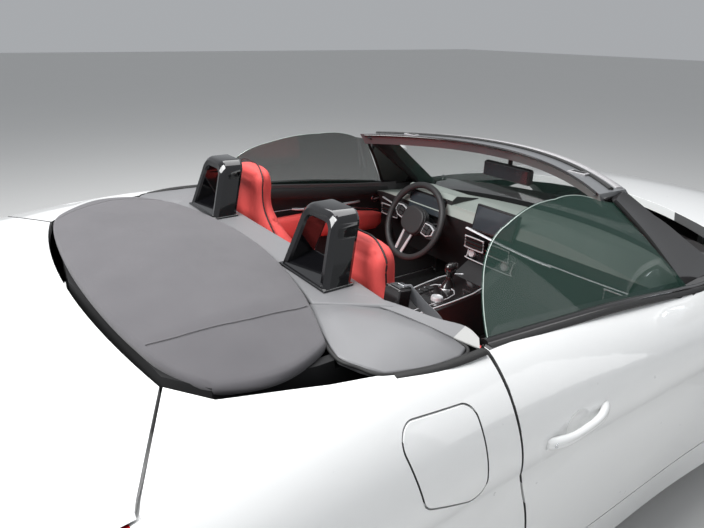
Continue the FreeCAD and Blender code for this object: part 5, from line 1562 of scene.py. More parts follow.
@dataclass
class SteeringWheel:
    """Three-spoke wheel with a leather rim, plain hub and silver-framed button pads."""

    centre: Point = (0.057, 0.368, 0.798)
    tilt: float = 22.5
    turn: float = -12.0
    radius: float = 0.1665
    grip: float = 0.0155

    def _world(self, x: float, y: float, z: float) -> Vector:
        """Place in the car of a point right, up and towards the driver on the wheel."""
        tilt, turn = math.radians(self.tilt), math.radians(self.turn)
        x, y = x * math.cos(turn) - y * math.sin(turn), x * math.sin(turn) + y * math.cos(turn)
        right = Vector((0, -1, 0))
        up = Vector((math.sin(tilt), 0, math.cos(tilt)))
        out = Vector((-math.cos(tilt), 0, math.sin(tilt)))
        return Vector(self.centre) + right * x + up * y + out * z

    def _slab(self, outline: Sequence[tuple[float, float]], low: float, high: float, finish: Finish,
              bevel: float) -> bpy.types.Object:
        """A flat piece of the wheel, rounded at its edges."""
        verts = [self._world(x, y, z) for z in (low, high) for x, y in outline]
        return rounded(mesh_object("wheel_piece", verts, prism_faces(len(outline)), finish), bevel)

    def _rim(self) -> bpy.types.Object:
        """The leather rim, thicker at the thumbs."""
        turns, sides = 96, 16
        verts = []
        for i in range(turns):
            a = 2 * math.pi * i / turns
            thumbs = sum(math.exp(-((math.degrees(a) - at + 180) % 360 - 180) ** 2 / 260.0)
                         for at in (28, 152))
            grip = self.grip * (0.94 + 0.14 * thumbs)
            for c, s in circle(sides):
                r = self.radius + grip * c
                verts.append(self._world(r * math.cos(a), r * math.sin(a), grip * 0.92 * s))
        return mesh_object("wheel_rim", verts, loops_to_faces(turns, sides, True, True),
                           Finishes.BLACK_LEATHER, 60)

    def build(self) -> None:
        """Make the wheel as one piece on its own body."""
        pieces = [self._rim()]
        pad = [(0.068 * bulged(c, 0.75), 0.004 + 0.060 * bulged(s, 0.8)) for c, s in circle(40)]
        pieces.append(self._slab(pad, -0.018, 0.020, Finishes.BLACK_LEATHER, 0.008))
        ring = [(x * 1.05, 0.004 + (y - 0.004) * 1.05) for x, y in pad]
        pieces.append(self._slab(ring, -0.020, 0.008, Finishes.TRIM, 0.003))
        for sign in (-1.0, 1.0):
            arm = [(0.055 * sign, 0.034), (0.105 * sign, 0.040), (0.160 * sign, 0.030),
                   (0.160 * sign, -0.012),
                   (0.118 * sign, -0.030), (0.060 * sign, -0.030)]
            pieces.append(self._slab(arm, -0.014, -0.002, Finishes.TRIM, 0.004))
            frame_line = [(0.072 * sign, 0.028), (0.108 * sign, 0.033), (0.140 * sign, 0.024),
                          (0.142 * sign, -0.004), (0.112 * sign, -0.023), (0.074 * sign, -0.023)]
            pieces.append(self._slab(frame_line, -0.004, 0.006, Finishes.SILVER, 0.002))
            inner = [(0.076 * sign, 0.024), (0.107 * sign, 0.028), (0.136 * sign, 0.020),
                     (0.137 * sign, -0.002), (0.111 * sign, -0.018), (0.078 * sign, -0.018)]
            pieces.append(self._slab(inner, -0.002, 0.008, Finishes.GLOSS, 0.002))
            for x, y, w, t in ((0.094, 0.013, 0.014, 0.007), (0.094, -0.006, 0.014, 0.007),
                               (0.120, 0.004, 0.009, 0.013)):
                key = [((x + w * a) * sign, y + t * b) for a, b in BOX_RING]
                pieces.append(self._slab(key, 0.006, 0.0105, Finishes.TRIM, 0.0015))
        low = [(-0.034, -0.050), (0.034, -0.050), (0.026, -0.155), (-0.026, -0.155)]
        pieces.append(self._slab(low, -0.014, -0.003, Finishes.TRIM, 0.003))
        for sign in (-1.0, 1.0):
            blade = [(0.034 * sign, -0.052), (0.022 * sign, -0.052), (0.012 * sign, -0.150),
                     (0.028 * sign, -0.156)]
            pieces.append(self._slab(blade, -0.004, 0.004, Finishes.SILVER, 0.002))
        wheel = joined("steering_wheel_whole", pieces)
        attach(wheel, "steering_wheel")
        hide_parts("steering_wheel")
        column = cad_copy("steering_column", "steering_column_shroud", Finishes.TRIM, 0.004)
        self._stalks()

    def _stalks(self) -> None:
        """Indicator and wiper stalks behind the rim."""
        level = SteeringWheel(turn=0.0)
        for side, sign in SIDES:
            path = [level._world(-0.045 * sign, 0.010, -0.052),
                    level._world(-0.095 * sign, 0.022, -0.054),
                    level._world(-0.135 * sign, 0.034, -0.050)]
            strip_piece(f"column_stalk_{side}", path, 0.0075, Finishes.TRIM, "chassis", flat=0.7)


@dataclass
class Dashboard:
    """Dash with its leather top, painted glare on its upper faces, silver strip, vents, screen and controls."""

    screen_lean: float = 14.0
    vent_z: float = 0.776
    climate_y: float = -0.020
    climate_z: float = 0.722
    climate_lean: float = -18.0

    def build(self) -> None:
        """Dress the dash and add its fittings."""
        dash = cad_copy("dashboard", "dashboard_skin", Finishes.BLACK_LEATHER, 0.006, 3)
        dash.data.materials.append(Finishes.DASH_GLARE.build())
        # Upward faces high on the dash take the pale finish as painted glare on the black leather.
        for face in dash.data.polygons:
            if face.normal.z > 0.35 and face.center.z > 0.80:
                face.material_index = 1
        self._screen()
        self._strips()
        self._vents()
        self._climate()

    def _screen(self) -> None:
        """Centre screen in its thin frame, and the driver's display."""
        back = block("centre_screen", (0.126, -0.045, 0.890), (0.009, 0.110, 0.054), Finishes.GLOSS,
                     0.005, self.screen_lean)
        face = block("centre_screen_face", (0.1165, -0.045, 0.891), (0.0015, 0.102, 0.047),
                         Finishes.SCREEN_FACE, 0.001, self.screen_lean)
        screen = joined("centre_screen", [back, face])
        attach(screen, "chassis")
        back = block("driver_display", (0.132, 0.368, 0.868), (0.006, 0.120, 0.046), Finishes.GLOSS,
                     0.005, self.screen_lean)
        face = block("driver_display_face", (0.1255, 0.368, 0.868), (0.0012, 0.112, 0.039),
                         Finishes.SCREEN_FACE, 0.001, self.screen_lean)
        display = joined("driver_display", [back, face])
        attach(display, "chassis")

    def _strips(self) -> None:
        """Silver strip across the dash, low beside the driver and rising at the middle."""
        for name, radius, path in (
                ("dash_strip", 0.0080,
                 [(0.122, -0.330, 0.800), (0.112, -0.240, 0.806), (0.104, -0.140, 0.816),
                  (0.101, -0.050, 0.825), (0.101, 0.030, 0.833), (0.102, 0.085, 0.838)]),
                ("dash_strip_passenger", 0.0045, [(0.135, -0.690, 0.806), (0.126, -0.520, 0.804),
                                                  (0.117, -0.320, 0.806)]),
                ("dash_strip_outer", 0.0060, [(0.106, 0.535, 0.815), (0.114, 0.610, 0.820),
                                              (0.128, 0.690, 0.824)])):
            strip_piece(name, path, radius, Finishes.SILVER, "chassis", flat=0.6, sides=10)

    def _vents(self) -> None:
        """Silver-rimmed vents with their slats."""
        for name, y, half in (("centre_left", 0.046, 0.050), ("centre_right", -0.088, 0.050),
                              ("outer_left", 0.615, 0.060), ("outer_right", -0.615, 0.060)):
            z = self.vent_z
            ring = [(0.112, y + half * a, z + 0.024 * b) for a, b in
                    ((-1, -0.75), (-0.88, -1), (0.88, -1), (1, -0.75), (1, 0.75), (0.88, 1),
                     (-0.88, 1), (-1, 0.75))]
            strip_piece(f"vent_rim_{name}", ring, 0.0032, Finishes.SILVER, "chassis", True, steps=3)
            hole = block(f"vent_well_{name}", (0.122, y, z), (0.008, half - 0.002, 0.022),
                         Finishes.LINING, 0.002)
            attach(hole, "chassis")
            rule = PathRepeat(f"vent_rule_{name}", RepeatShape.SLAT, 0.011,
                              (0.012, 2 * half - 0.008, 0.0022),
                              Finishes.GLOSS)
            rule.along(f"vent_slats_{name}", [(0.112, y, z - 0.0165), (0.112, y, z + 0.0165)],
                       "chassis")

    def _climate(self) -> None:
        """Climate panel with two knobs and a row of keys under the vents."""
        panel = block("climate_panel", (0.150, self.climate_y, self.climate_z),
                      (0.010, 0.118, 0.026),
                      Finishes.GLOSS, 0.006, self.climate_lean)
        rim = [(0.139 + 0.31 * dz, self.climate_y + 0.119 * a, self.climate_z + dz) for a, dz in
               ((-1, -0.018), (-0.93, -0.027), (0.93, -0.027), (1, -0.018), (1, 0.018),
                (0.93, 0.027),
                (-0.93, 0.027), (-1, 0.018))]
        strip_piece("climate_rim", rim, 0.0026, Finishes.SILVER, "chassis", True, steps=3)
        parts = [panel]
        for y in (-0.110, 0.070):
            parts.append(turned_knob((0.139, y, self.climate_z), (-1.0, 0.0, 0.25), 0.017, 0.014))
        for k in range(5):
            parts.append(block("key", (0.1385, -0.070 + 0.025 * k, self.climate_z),
                               (0.003, 0.0095, 0.008),
                               Finishes.TRIM, 0.0015, self.climate_lean))
        whole = joined("climate_controls", parts)
        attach(whole, "chassis")


@dataclass
class Console:
    """Console with gloss deck, selector, rotary control, keys and a padded armrest."""

    deck_thick: float = 0.004
    selector: tuple[float, float] = (-0.055, 0.012)
    knob: tuple[float, float] = (-0.165, -0.045)

    def build(self) -> None:
        """Dress the console."""
        body = cad_copy("centre_console", "centre_console_skin", Finishes.BLACK_LEATHER, 0.008, 3)
        deck = [(0.045, 0.086), (0.045, -0.086), (-0.300, -0.080), (-0.318, -0.060),
                (-0.318, 0.060), (-0.300, 0.080)]
        plate = plate_piece("console_deck", [(x, y, self._top(x)) for x, y in deck],
                            Vector((0, 0, self.deck_thick)),
                            Finishes.GLOSS, "chassis", 0.0015)
        rim = [(x, y, self._top(x) + 0.003) for x, y in deck]
        strip_piece("console_rim", rim, 0.003, Finishes.SILVER, "chassis", True, steps=4)
        dish = [(x * 0.60 - 0.11, y * 0.66) for x, y in deck]
        strip_piece("console_inner_rim", [(x, y, self._top(x) + 0.005) for x, y in dish], 0.0018,
                    Finishes.SILVER, "chassis", True, steps=4)
        keys = [turned_knob((*self.knob, self._top(self.knob[0]) + 0.003), (0.08, 0, 1), 0.024,
                            0.016)]
        for k in range(4):
            x = -0.120 - 0.028 * k
            keys.append(block("key", (x, 0.048, self._top(x) + 0.006), (0.011, 0.016, 0.003),
                                         Finishes.TRIM, 0.0015))
        group = joined("console_controls", keys)
        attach(group, "chassis")
        self._selector()
        self._armrest()

    @staticmethod
    def _top(x: float) -> float:
        """Height of the console's deck at a place along it."""
        return 0.610 + (x + 0.330) / 0.390 * 0.030 + 0.001

    def _selector(self) -> None:
        """The stubby selector with its boot."""
        base = Vector((*self.selector, self._top(self.selector[0])))
        # Half length, half width, height
        rows = ((0.034, 0.030, 0.0), (0.030, 0.024, 0.012), (0.016, 0.012, 0.034),
                (0.015, 0.011, 0.050),
                (0.026, 0.017, 0.066), (0.032, 0.020, 0.082), (0.030, 0.019, 0.096),
                (0.018, 0.010, 0.104))
        rings = [[base + Vector((long * c + rise * 0.16, wide * s, rise)) for c, s in circle(24)]
                 for long, wide, rise in rows]
        lever = lofted("gear_selector", rings, Finishes.GLOSS, 50)
        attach(lever, "chassis")
        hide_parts("gear_lever")
        ring = [base + Vector((0.036 * c, 0.031 * s, 0.002)) for c, s in circle(24)]
        strip_piece("selector_ring", ring, 0.0024, Finishes.CHROME, "chassis", True, steps=1)

    def _armrest(self) -> None:
        """Padded lid behind the controls."""
        # Place along X, top, half width
        rows = ((-0.415, 0.690, 0.070), (-0.425, 0.706, 0.082), (-0.50, 0.722, 0.088),
                (-0.60, 0.726, 0.088), (-0.685, 0.722, 0.084), (-0.698, 0.706, 0.074))
        rings = [[Vector((x, half * bulged(c, 0.5), top - 0.024 + 0.022 * bulged(s, 0.5)))
                  for c, s in circle(24)] for x, top, half in rows]
        rest = lofted("console_armrest", rings, Finishes.BLACK_LEATHER, 70)
        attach(rest, "chassis")


# Glass, header and mirrors

@dataclass
class GlassAndHeader:
    """Windscreen, its dark frame with rail and latch slots, side glass, seals, inner mirror."""

    header_x: float = 0.130
    header_end_x: float = -0.088
    header_z: float = 1.186
    header_drop: float = 0.020
    header_half: float = 0.596
    header_face_z: float = 1.128
    latch_y: float = 0.42
    pane_back: float = 0.026

    def build(self) -> None:
        """Dress everything round the glass."""
        surround = cad_copy("windscreen_frame", "windscreen_surround", Finishes.GLOSS, 0.004, 3)
        surround.data.materials.append(Finishes.LINING.build())
        surround.data.materials.append(Finishes.HEADER.build())
        for face in surround.data.polygons:
            if face.center.z > self.header_face_z and abs(face.center.y) < 0.60 and (face.normal.z > -0.30
                                                                       or face.normal.x < -0.35):
                face.material_index = 2
            elif face.normal.z < -0.30 or face.normal.x < -0.5:
                face.material_index = 1
        paint(frame["nodes"]["windscreen"], glass_material("screen_tint", (0.10, 0.20, 0.17), 0.20))
        self._rail()
        for side, sign in SIDES:
            self._side_glass(side, sign)
            self._belt_strip(side, sign)
            self._pillar_seal(side, sign)
        mirror = cad_copy("interior_mirror", "interior_mirror_shell", Finishes.TRIM, 0.003)
        face = block("interior_mirror_face", (0.1985, 0, 1.075), (0.0012, 0.112, 0.026),
                     Finishes.LAMP_DARK, 0.001)
        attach(face, "chassis")

    def header_line(self, y: float) -> tuple[float, float]:
        """Rear edge of the header at a place across the car: x and top z."""
        share = (abs(y) / self.header_half) ** 2
        return (self.header_x + (self.header_end_x - self.header_x) * share,
                self.header_z - self.header_drop * share)

    def _rail(self) -> None:
        """Silver-grey rail along the header, the seal behind it and the two latch slots."""
        # Name, steps forward and up from the header's edge, radius, flatness, finish
        for name, ahead, lift, radius, flat, finish in (
                ("header_rail", 0.112, -0.003, 0.012, 0.35, Finishes.RAIL),
                ("header_seal", 0.070, 0.000, 0.008, 0.7, Finishes.RUBBER),
                ("header_lip", 0.004, -0.006, 0.006, 0.8, Finishes.GLOSS)):
            path = []
            for i in range(25):
                y = -0.582 + 1.164 * i / 24
                x, z = self.header_line(y)
                path.append((x + ahead, y, z + lift))
            strip_piece(name, path, radius, finish, "chassis", flat=flat, sides=10, steps=2)
        for side, sign in SIDES:
            x, z = self.header_line(self.latch_y)
            slot_frame = block(f"header_latch_{side}", (x + 0.040, self.latch_y * sign, z - 0.0005),
                                          (0.016, 0.034, 0.0035), Finishes.RAIL, 0.002)
            slot_well = block(f"header_latch_well_{side}",
                              (x + 0.040, self.latch_y * sign, z + 0.001),
                              (0.009, 0.024, 0.0028), Finishes.LINING, 0.001)
            whole = joined(f"header_latch_{side}", [slot_frame, slot_well])
            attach(whole, "chassis")

    def _side_glass(self, side: str, sign: float) -> None:
        """Tinted side glass with its bright ground edge."""
        node = cad_copy(f"side_glass_{side}", f"side_pane_{side}", Finishes.GLOSS)
        for vertex in node.data.vertices:
            share = min(1.0, max(0.0, (-0.45 - vertex.co.x) / 0.25))
            vertex.co.x -= self.pane_back * share * share * (3.0 - 2.0 * share)
        paint(node, glass_material("side_glass_tint", (0.030, 0.075, 0.058), 0.55))
        work = bmesh.new()
        work.from_mesh(node.data)
        bmesh.ops.remove_doubles(work, verts=work.verts, dist=CAD_MERGE)
        sharp = [e for e in work.edges if len(e.link_faces) == 2
                 and e.calc_face_angle(0) > math.radians(50)]
        outer: dict[int, list[int]] = {}
        for edge in sharp:
            faces = [f for f in edge.link_faces if f.normal.y * sign > 0.5]
            if faces and max(v.co.z for v in edge.verts) > 0.90:
                a, b = edge.verts
                outer.setdefault(a.index, []).append(b.index)
                outer.setdefault(b.index, []).append(a.index)
        work.verts.ensure_lookup_table()
        ends = [k for k, v in outer.items() if len(v) == 1] or list(outer)[:1]
        if ends:
            here, path, seen = ends[0], [], set()
            while here is not None and here not in seen:
                seen.add(here)
                path.append(work.verts[here].co.copy())
                here = next((n for n in outer[here] if n not in seen), None)
            path = [p for p in path if p.x < -0.12]
            if len(path) > 8:
                strip_piece(f"side_glass_edge_{side}", path, 0.0011,
                            Finish("glass_edge", (0.50, 0.58, 0.54), (0.40, 0.48, 0.44), 0.15,
                                   bump=0.0, coat=1.0),
                            f"door_{side}", steps=1, sides=6)
        work.free()

    def _belt_strip(self, side: str, sign: float) -> None:
        """Rubber strip at the foot of the glass, along the door and on to the quarter."""
        line = [(-0.735, 0.800, 0.966), (-0.485, 0.799, 0.946), (-0.228, 0.798, 0.924),
                (0.094, 0.797, 0.882),
                (0.243, 0.796, 0.862), (0.430, 0.792, 0.852)]
        strip_piece(f"belt_strip_{side}", sided(line, sign), 0.0135, Finishes.RUBBER,
                    f"door_{side}", flat=0.55, sides=10)
        path = [(x, (y - 0.012) * sign, z + 0.007) for x, y, z in line]
        strip_piece(f"belt_seal_{side}", path, 0.011, Finishes.GLOSS, f"door_{side}", flat=0.6,
                    sides=10)

    def _pillar_seal(self, side: str, sign: float) -> None:
        """Black finisher and seal that carry the pillar out to the front edge of the side glass."""
        outer = [(0.026, 0.604, 1.160), (0.100, 0.632, 1.105), (0.193, 0.662, 1.050),
                 (0.300, 0.698, 0.975),
                 (0.400, 0.732, 0.905), (0.455, 0.745, 0.868)]
        glass = [(-0.036, 0.620, 1.146), (0.006, 0.652, 1.098), (0.062, 0.688, 1.035),
                 (0.112, 0.722, 0.970),
                 (0.160, 0.755, 0.905), (0.188, 0.772, 0.866)]
        rows = []
        a_line, b_line = smooth_path(outer, 4), smooth_path(glass, 4)
        for a, b in zip(a_line, b_line):
            middle = (a + b) * 0.5 + Vector((0.0, -0.004, 0.0))
            rows.append([a, middle, b, b + Vector((0.0, -0.014, -0.002)),
                         a + Vector((-0.010, -0.020, -0.006))])
        rings = [sided(row, sign) for row in rows]
        panel = lofted(f"pillar_finisher_{side}", rings, Finishes.GLOSS, 40)
        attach(panel, "chassis")
        seal = [(p.x - 0.003, (p.y - 0.004) * sign, p.z) for p in b_line]
        strip_piece(f"pillar_seal_{side}", seal, 0.006, Finishes.RUBBER, "chassis", steps=1)
        corner = [(0.300, 0.735, 0.856), (0.470, 0.737, 0.856), (0.600, 0.739, 0.856),
                  (0.618, 0.785, 0.856),
                  (0.556, 0.745, 0.856), (0.300, 0.7385, 0.856)]
        plate_piece(f"scuttle_corner_{side}", sided(corner, sign), Vector((0, 0, 0.004)),
                    Finishes.TRIM, "chassis", 0.001)


# Doors, mirrors, lamps and outside trim

@dataclass
class DoorTrim:
    """Inner panel with a black top roll, red armrest and silver pull, and the outside lock."""

    side: str
    sign: float

    def _inner(self, x: float, z: float, off: float = 0.0) -> Vector:
        """A place on the inner face of the door panel."""
        return Vector((x, (0.770 - off) * self.sign, z))

    def _bar(self, name: str, rows: Sequence[tuple], finish: Finish,
             power: float = 0.6, count: int = 20) -> bpy.types.Object:
        """A loft along X of rounded sections: x, centre y, centre z, half width, half height."""
        rings = [[(x, (cy + half_y * bulged(c, power)) * self.sign, cz + half_z * bulged(s, power))
                  for c, s in circle(count)] for x, cy, cz, half_y, half_z in rows]
        return lofted(name, rings, finish, 60)

    def build(self) -> None:
        """Add the door's trim and the ring of its lock."""
        body = f"door_{self.side}"
        roll = self._bar(f"door_top_roll_{self.side}", [
            (0.225, 0.762, 0.835, 0.010, 0.014), (0.190, 0.756, 0.840, 0.018, 0.022),
            (-0.10, 0.752, 0.868, 0.022, 0.026), (-0.42, 0.750, 0.905, 0.022, 0.026),
            (-0.66, 0.752, 0.925, 0.020, 0.022), (-0.700, 0.760, 0.925, 0.010, 0.012)],
            Finishes.BLACK_LEATHER)
        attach(roll, body)
        rest = self._bar(f"door_armrest_{self.side}", [
            (0.165, 0.758, 0.692, 0.010, 0.030), (0.120, 0.750, 0.692, 0.022, 0.046),
            (-0.060, 0.744, 0.712, 0.028, 0.058), (-0.300, 0.740, 0.735, 0.030, 0.060),
            (-0.440, 0.744, 0.742, 0.026, 0.050), (-0.490, 0.756, 0.742, 0.012, 0.030)],
            Finishes.LEATHER)
        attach(rest, body)
        pull = [self._inner(0.030, 0.800, 0.008), self._inner(-0.030, 0.806, 0.030),
                self._inner(-0.180, 0.812, 0.036), self._inner(-0.300, 0.816, 0.030),
                self._inner(-0.350, 0.818, 0.006)]
        strip_piece(f"door_pull_{self.side}", pull, 0.0085, Finishes.SILVER, body, flat=0.7,
                    sides=12)
        line = [self._inner(0.150, 0.742, 0.010), self._inner(-0.200, 0.806, 0.006),
                self._inner(-0.520, 0.822, 0.006)]
        strip_piece(f"door_trim_line_{self.side}", line, 0.004, Finishes.CHROME, body, flat=0.8)
        self._release(body)
        lock, _normal = Skin.at(f"door_handle_{self.side}", (-0.640, 0.90 * self.sign, 0.757),
                                (0, self.sign, 0))
        ring = [lock + Vector((0.006 * c, 0.0004 * self.sign, 0.006 * s)) for c, s in circle(16)]
        strip_piece(f"door_lock_{self.side}", ring, 0.0014, Finishes.CHROME, body, True, steps=1)

    def _release(self, body: str) -> None:
        """The inner release in its round dish."""
        centre = self._inner(0.140, 0.800, 0.004)
        ring = [centre + Vector((0.026 * c, 0, 0.020 * s)) for c, s in circle(24)]
        strip_piece(f"door_release_ring_{self.side}", ring, 0.003, Finishes.CHROME, body, True,
                    steps=1)
        tongue = [centre + Vector((0.018, -0.003 * self.sign, 0.002)),
                  centre + Vector((0, -0.008 * self.sign, 0.001)),
                  centre + Vector((-0.020, -0.010 * self.sign, 0))]
        strip_piece(f"door_release_{self.side}", tongue, 0.006, Finishes.SILVER, body, flat=0.6)


# Outside fittings

class Skin:
    """Finds places on the outside of frame nodes."""

    _trees: dict[str, BVHTree] = {}

    @classmethod
    def at(cls, node: str, place: Point, out: Point) -> tuple[Vector, Vector]:
        """Where a line from outside meets a node.

        Args:
            node: The frame node.
            place: A place on or inside the node.
            out: The direction from there to the outside.

        Returns:
            The place on its surface and the outward normal there.
        """
        tree = cls._trees.get(node)
        if tree is None:
            mesh = frame["nodes"][node].data
            tree = BVHTree.FromPolygons([v.co.copy() for v in mesh.vertices],
                                        [tuple(p.vertices) for p in mesh.polygons])
            cls._trees[node] = tree
        away = Vector(out).normalized()
        hit, normal, _face, _reach = tree.ray_cast(Vector(place) + away * 0.5, -away)
        if hit is None:
            return Vector(place), away
        return hit, normal if normal.dot(away) > 0 else -normal

    @classmethod
    def loop(cls, node: str, place: Point, out: Point, half: tuple[float, float],
             power: float = 1.0,
             count: int = 32, lift: float = 0.001, tilt: float = 0.0) -> list[Vector]:
        """A rounded outline laid on a node.

        Args:
            node: The frame node.
            place: The outline's middle.
            out: Direction to the outside.
            half: Half width and half height in metres.
            power: 1 for an ellipse, less for a squarer outline.
            count: Points round it.
            lift: How far it stands off the surface.
            tilt: Turn about the outward direction, in degrees.

        Returns:
            The outline's points.
        """
        away = Vector(out).normalized()
        across = Vector((0, 0, 1)).cross(away)
        if across.length < 0.1:
            across = Vector((0, 1, 0))
        across.normalize()
        up = away.cross(across)
        turn = math.radians(tilt)
        wide = across * math.cos(turn) + up * math.sin(turn)
        high = up * math.cos(turn) - across * math.sin(turn)
        points = []
        for c, s in circle(count):
            spot = Vector(place) + wide * (half[0] * bulged(c, power)) + high * (half[1]
                                                                                 * bulged(s, power))
            hit, normal = cls.at(node, spot, out)
            points.append(hit + normal * lift)
        return points

    @classmethod
    def patch(cls, name: str, node: str, place: Point, out: Point, half: tuple[float, float],
              finish: Finish, power: float = 1.0, lift: float = 0.0015, tilt: float = 0.0,
              crown: float = 0.0) -> bpy.types.Object:
        """A thin plate that follows a node's surface, with its rim turned down.

        Args:
            name: The new piece's name.
            node: The frame node it lies on.
            place: Its middle.
            out: Direction to the outside.
            half: Half width and half height in metres.
            finish: Its finish.
            power: 1 for an ellipse, less for a squarer outline.
            lift: Its thickness above the surface.
            tilt: Turn about the outward direction, in degrees.
            crown: Extra height in its middle.

        Returns:
            The new piece.
        """
        verts: list[Vector] = []
        count = 32
        # Share of the size, height above the surface
        rows = ((1.0, 0.0002), (1.0, lift * 0.7), (0.96, lift), (0.75, lift), (0.5, lift),
                (0.25, lift), (0.02, lift))
        for share, rise in rows:
            dome = crown * (1 - share * share)
            verts += cls.loop(node, place, out, (half[0] * share, half[1] * share), power, count,
                              rise + dome, tilt)
        last = (len(rows) - 1) * count
        faces = loops_to_faces(len(rows), count) + [tuple(range(last, last + count))]
        return mesh_object(name, verts, faces, finish, 45)


@dataclass
class Wheel:
    """Tyre with grooves and shoulder blocks, alloy rim, bolts, cap and brake disc."""

    axle: str
    side: str
    centre: Point
    width: float
    sign: float
    radius: float = 0.329
    bead: float = 0.229
    lugs: int = 64
    hub_inset: float = 0.060
    bolt_circle: float = 0.048
    valve_radius: float = 0.205
    valve_turn: float = 1.7

    @property
    def hub(self) -> float:
        """How far the hub's face stands from the wheel's middle plane."""
        return 0.5 * self.width - self.hub_inset

    def _turned(self, name: str, rows: Sequence[tuple[float, float]], finish: Finish,
                count: int = 64,
                closed: bool = False, angle: float = 40.0) -> bpy.types.Object:
        """A piece turned about the axle from rows of radius and outward place."""
        verts = [Vector(self.centre) + Vector((radius * c, out * self.sign, radius * s))
                 for radius, out in rows for c, s in circle(count)]
        return mesh_object(name, verts, loops_to_faces(len(rows), count, True, closed), finish,
                           angle)

    def build(self) -> None:
        """Make the whole wheel."""
        place = f"{self.axle}_{self.side}"
        body = f"wheel_{place}"
        self._tyre(place, body)
        rim = cad_copy(f"rim_{place}", f"rim_{place}_alloy", Finishes.ALLOY, 0.003, 2)
        hub = self.hub
        cap = self._turned(f"hub_cap_{place}",
                           [(0.0315, hub - 0.012), (0.0315, hub - 0.002), (0.0295, hub + 0.001),
                            (0.020, hub + 0.0025), (0.0005, hub + 0.003)], Finishes.TRIM, 40)
        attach(cap, body)
        rule = PathRepeat(f"wheel_bolts_{place}_rule", RepeatShape.BOLT,
                          2 * math.pi * self.bolt_circle / 5.02,
                          (0.017, 0.017, 0.014), Finishes.STEEL)
        ring = [(self.bolt_circle * c, self.bolt_circle * s, 0.0) for c, s in circle(80)]
        turn = (Matrix.Translation(Vector(self.centre) + Vector((0, (hub + 0.0015) * self.sign, 0)))
                @ Matrix.Rotation(math.radians(90), 4, "X"))
        rule.along(f"wheel_bolts_{place}", ring, body, True, turn)
        across, up = (self.valve_radius * part(self.valve_turn) for part in (math.cos, math.sin))
        valve = [Vector(self.centre) + Vector((across, (hub + o) * self.sign, up))
                 for o in (0.002, 0.012, 0.024)]
        strip_piece(f"valve_{place}", valve, 0.0035, Finishes.RUBBER, body, steps=1)
        carrier = f"knuckle_{self.side}" if self.axle == "front" else "chassis"
        face = hub - 0.046 - 0.006
        disc = self._turned(f"brake_face_{place}", [(0.096, face - 0.001), (0.098, face + 0.0006),
                                                    (0.1715, face + 0.0006),
                                                    (0.1735, face - 0.001)],
                            Finishes.STEEL, 72)
        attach(disc, carrier)

    def _tyre(self, place: str, body: str) -> None:
        """Tyre wall with a rim protector, and a tread cut by grooves and shoulder slots."""
        half, wall, count = 0.5 * self.width, self.radius - self.bead, self.lugs * 4
        side = [(self.bead + 0.001, half - 0.018), (self.bead + 0.010, half - 0.0125),
                (self.bead + 0.018, half - 0.006),
                (self.bead + 0.022, half - 0.0045), (self.bead + 0.030, half - 0.002),
                (self.bead + 0.45 * wall, half + 0.0025), (self.bead + 0.60 * wall, half + 0.0022),
                (self.bead + 0.612 * wall, half + 0.0030), (self.bead + 0.64 * wall, half + 0.0018),
                (self.radius - 0.22 * wall, half - 0.001),
                (self.radius - 0.10 * wall, half - 0.0095),
                (self.radius - 0.045 * wall, half - 0.016)]
        tread: list[tuple[float, float]] = []
        edge = half - 0.024
        for at in (0.62, 0.22):
            groove = at * edge
            tread += [(0.0, groove + 0.0042), (-0.0065, groove + 0.0030),
                      (-0.0065, groove - 0.0030),
                      (0.0, groove - 0.0042)]
        crown = [(self.radius - 0.0006, edge)] + [(self.radius - 0.0006 + drop, out)
                                                  for drop, out in tread]
        right = side + crown
        rows = right + [(radius, -out) for radius, out in reversed(right)]
        verts = []
        for radius, out in rows:
            shoulder = abs(out) > 0.66 * edge and radius > self.radius - 0.20 * wall
            inner = abs(out) < 0.58 * edge and radius > self.radius - 0.002
            for k, (c, s) in enumerate(circle(count)):
                cut = 0.0
                if shoulder and k % 4 == 0:
                    cut = 0.0055
                if inner and abs(out) > 0.26 * edge and (k + (2 if out > 0 else 0)) % 8 == 0:
                    cut = 0.0040
                r = radius - cut
                verts.append(Vector(self.centre) + Vector((r * c, out * self.sign, r * s)))
        tyre = mesh_object(f"tyre_{place}_rubber", verts, loops_to_faces(len(rows), count),
                           Finishes.TYRE, 24)
        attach(tyre, body)
        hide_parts(f"tyre_{place}")


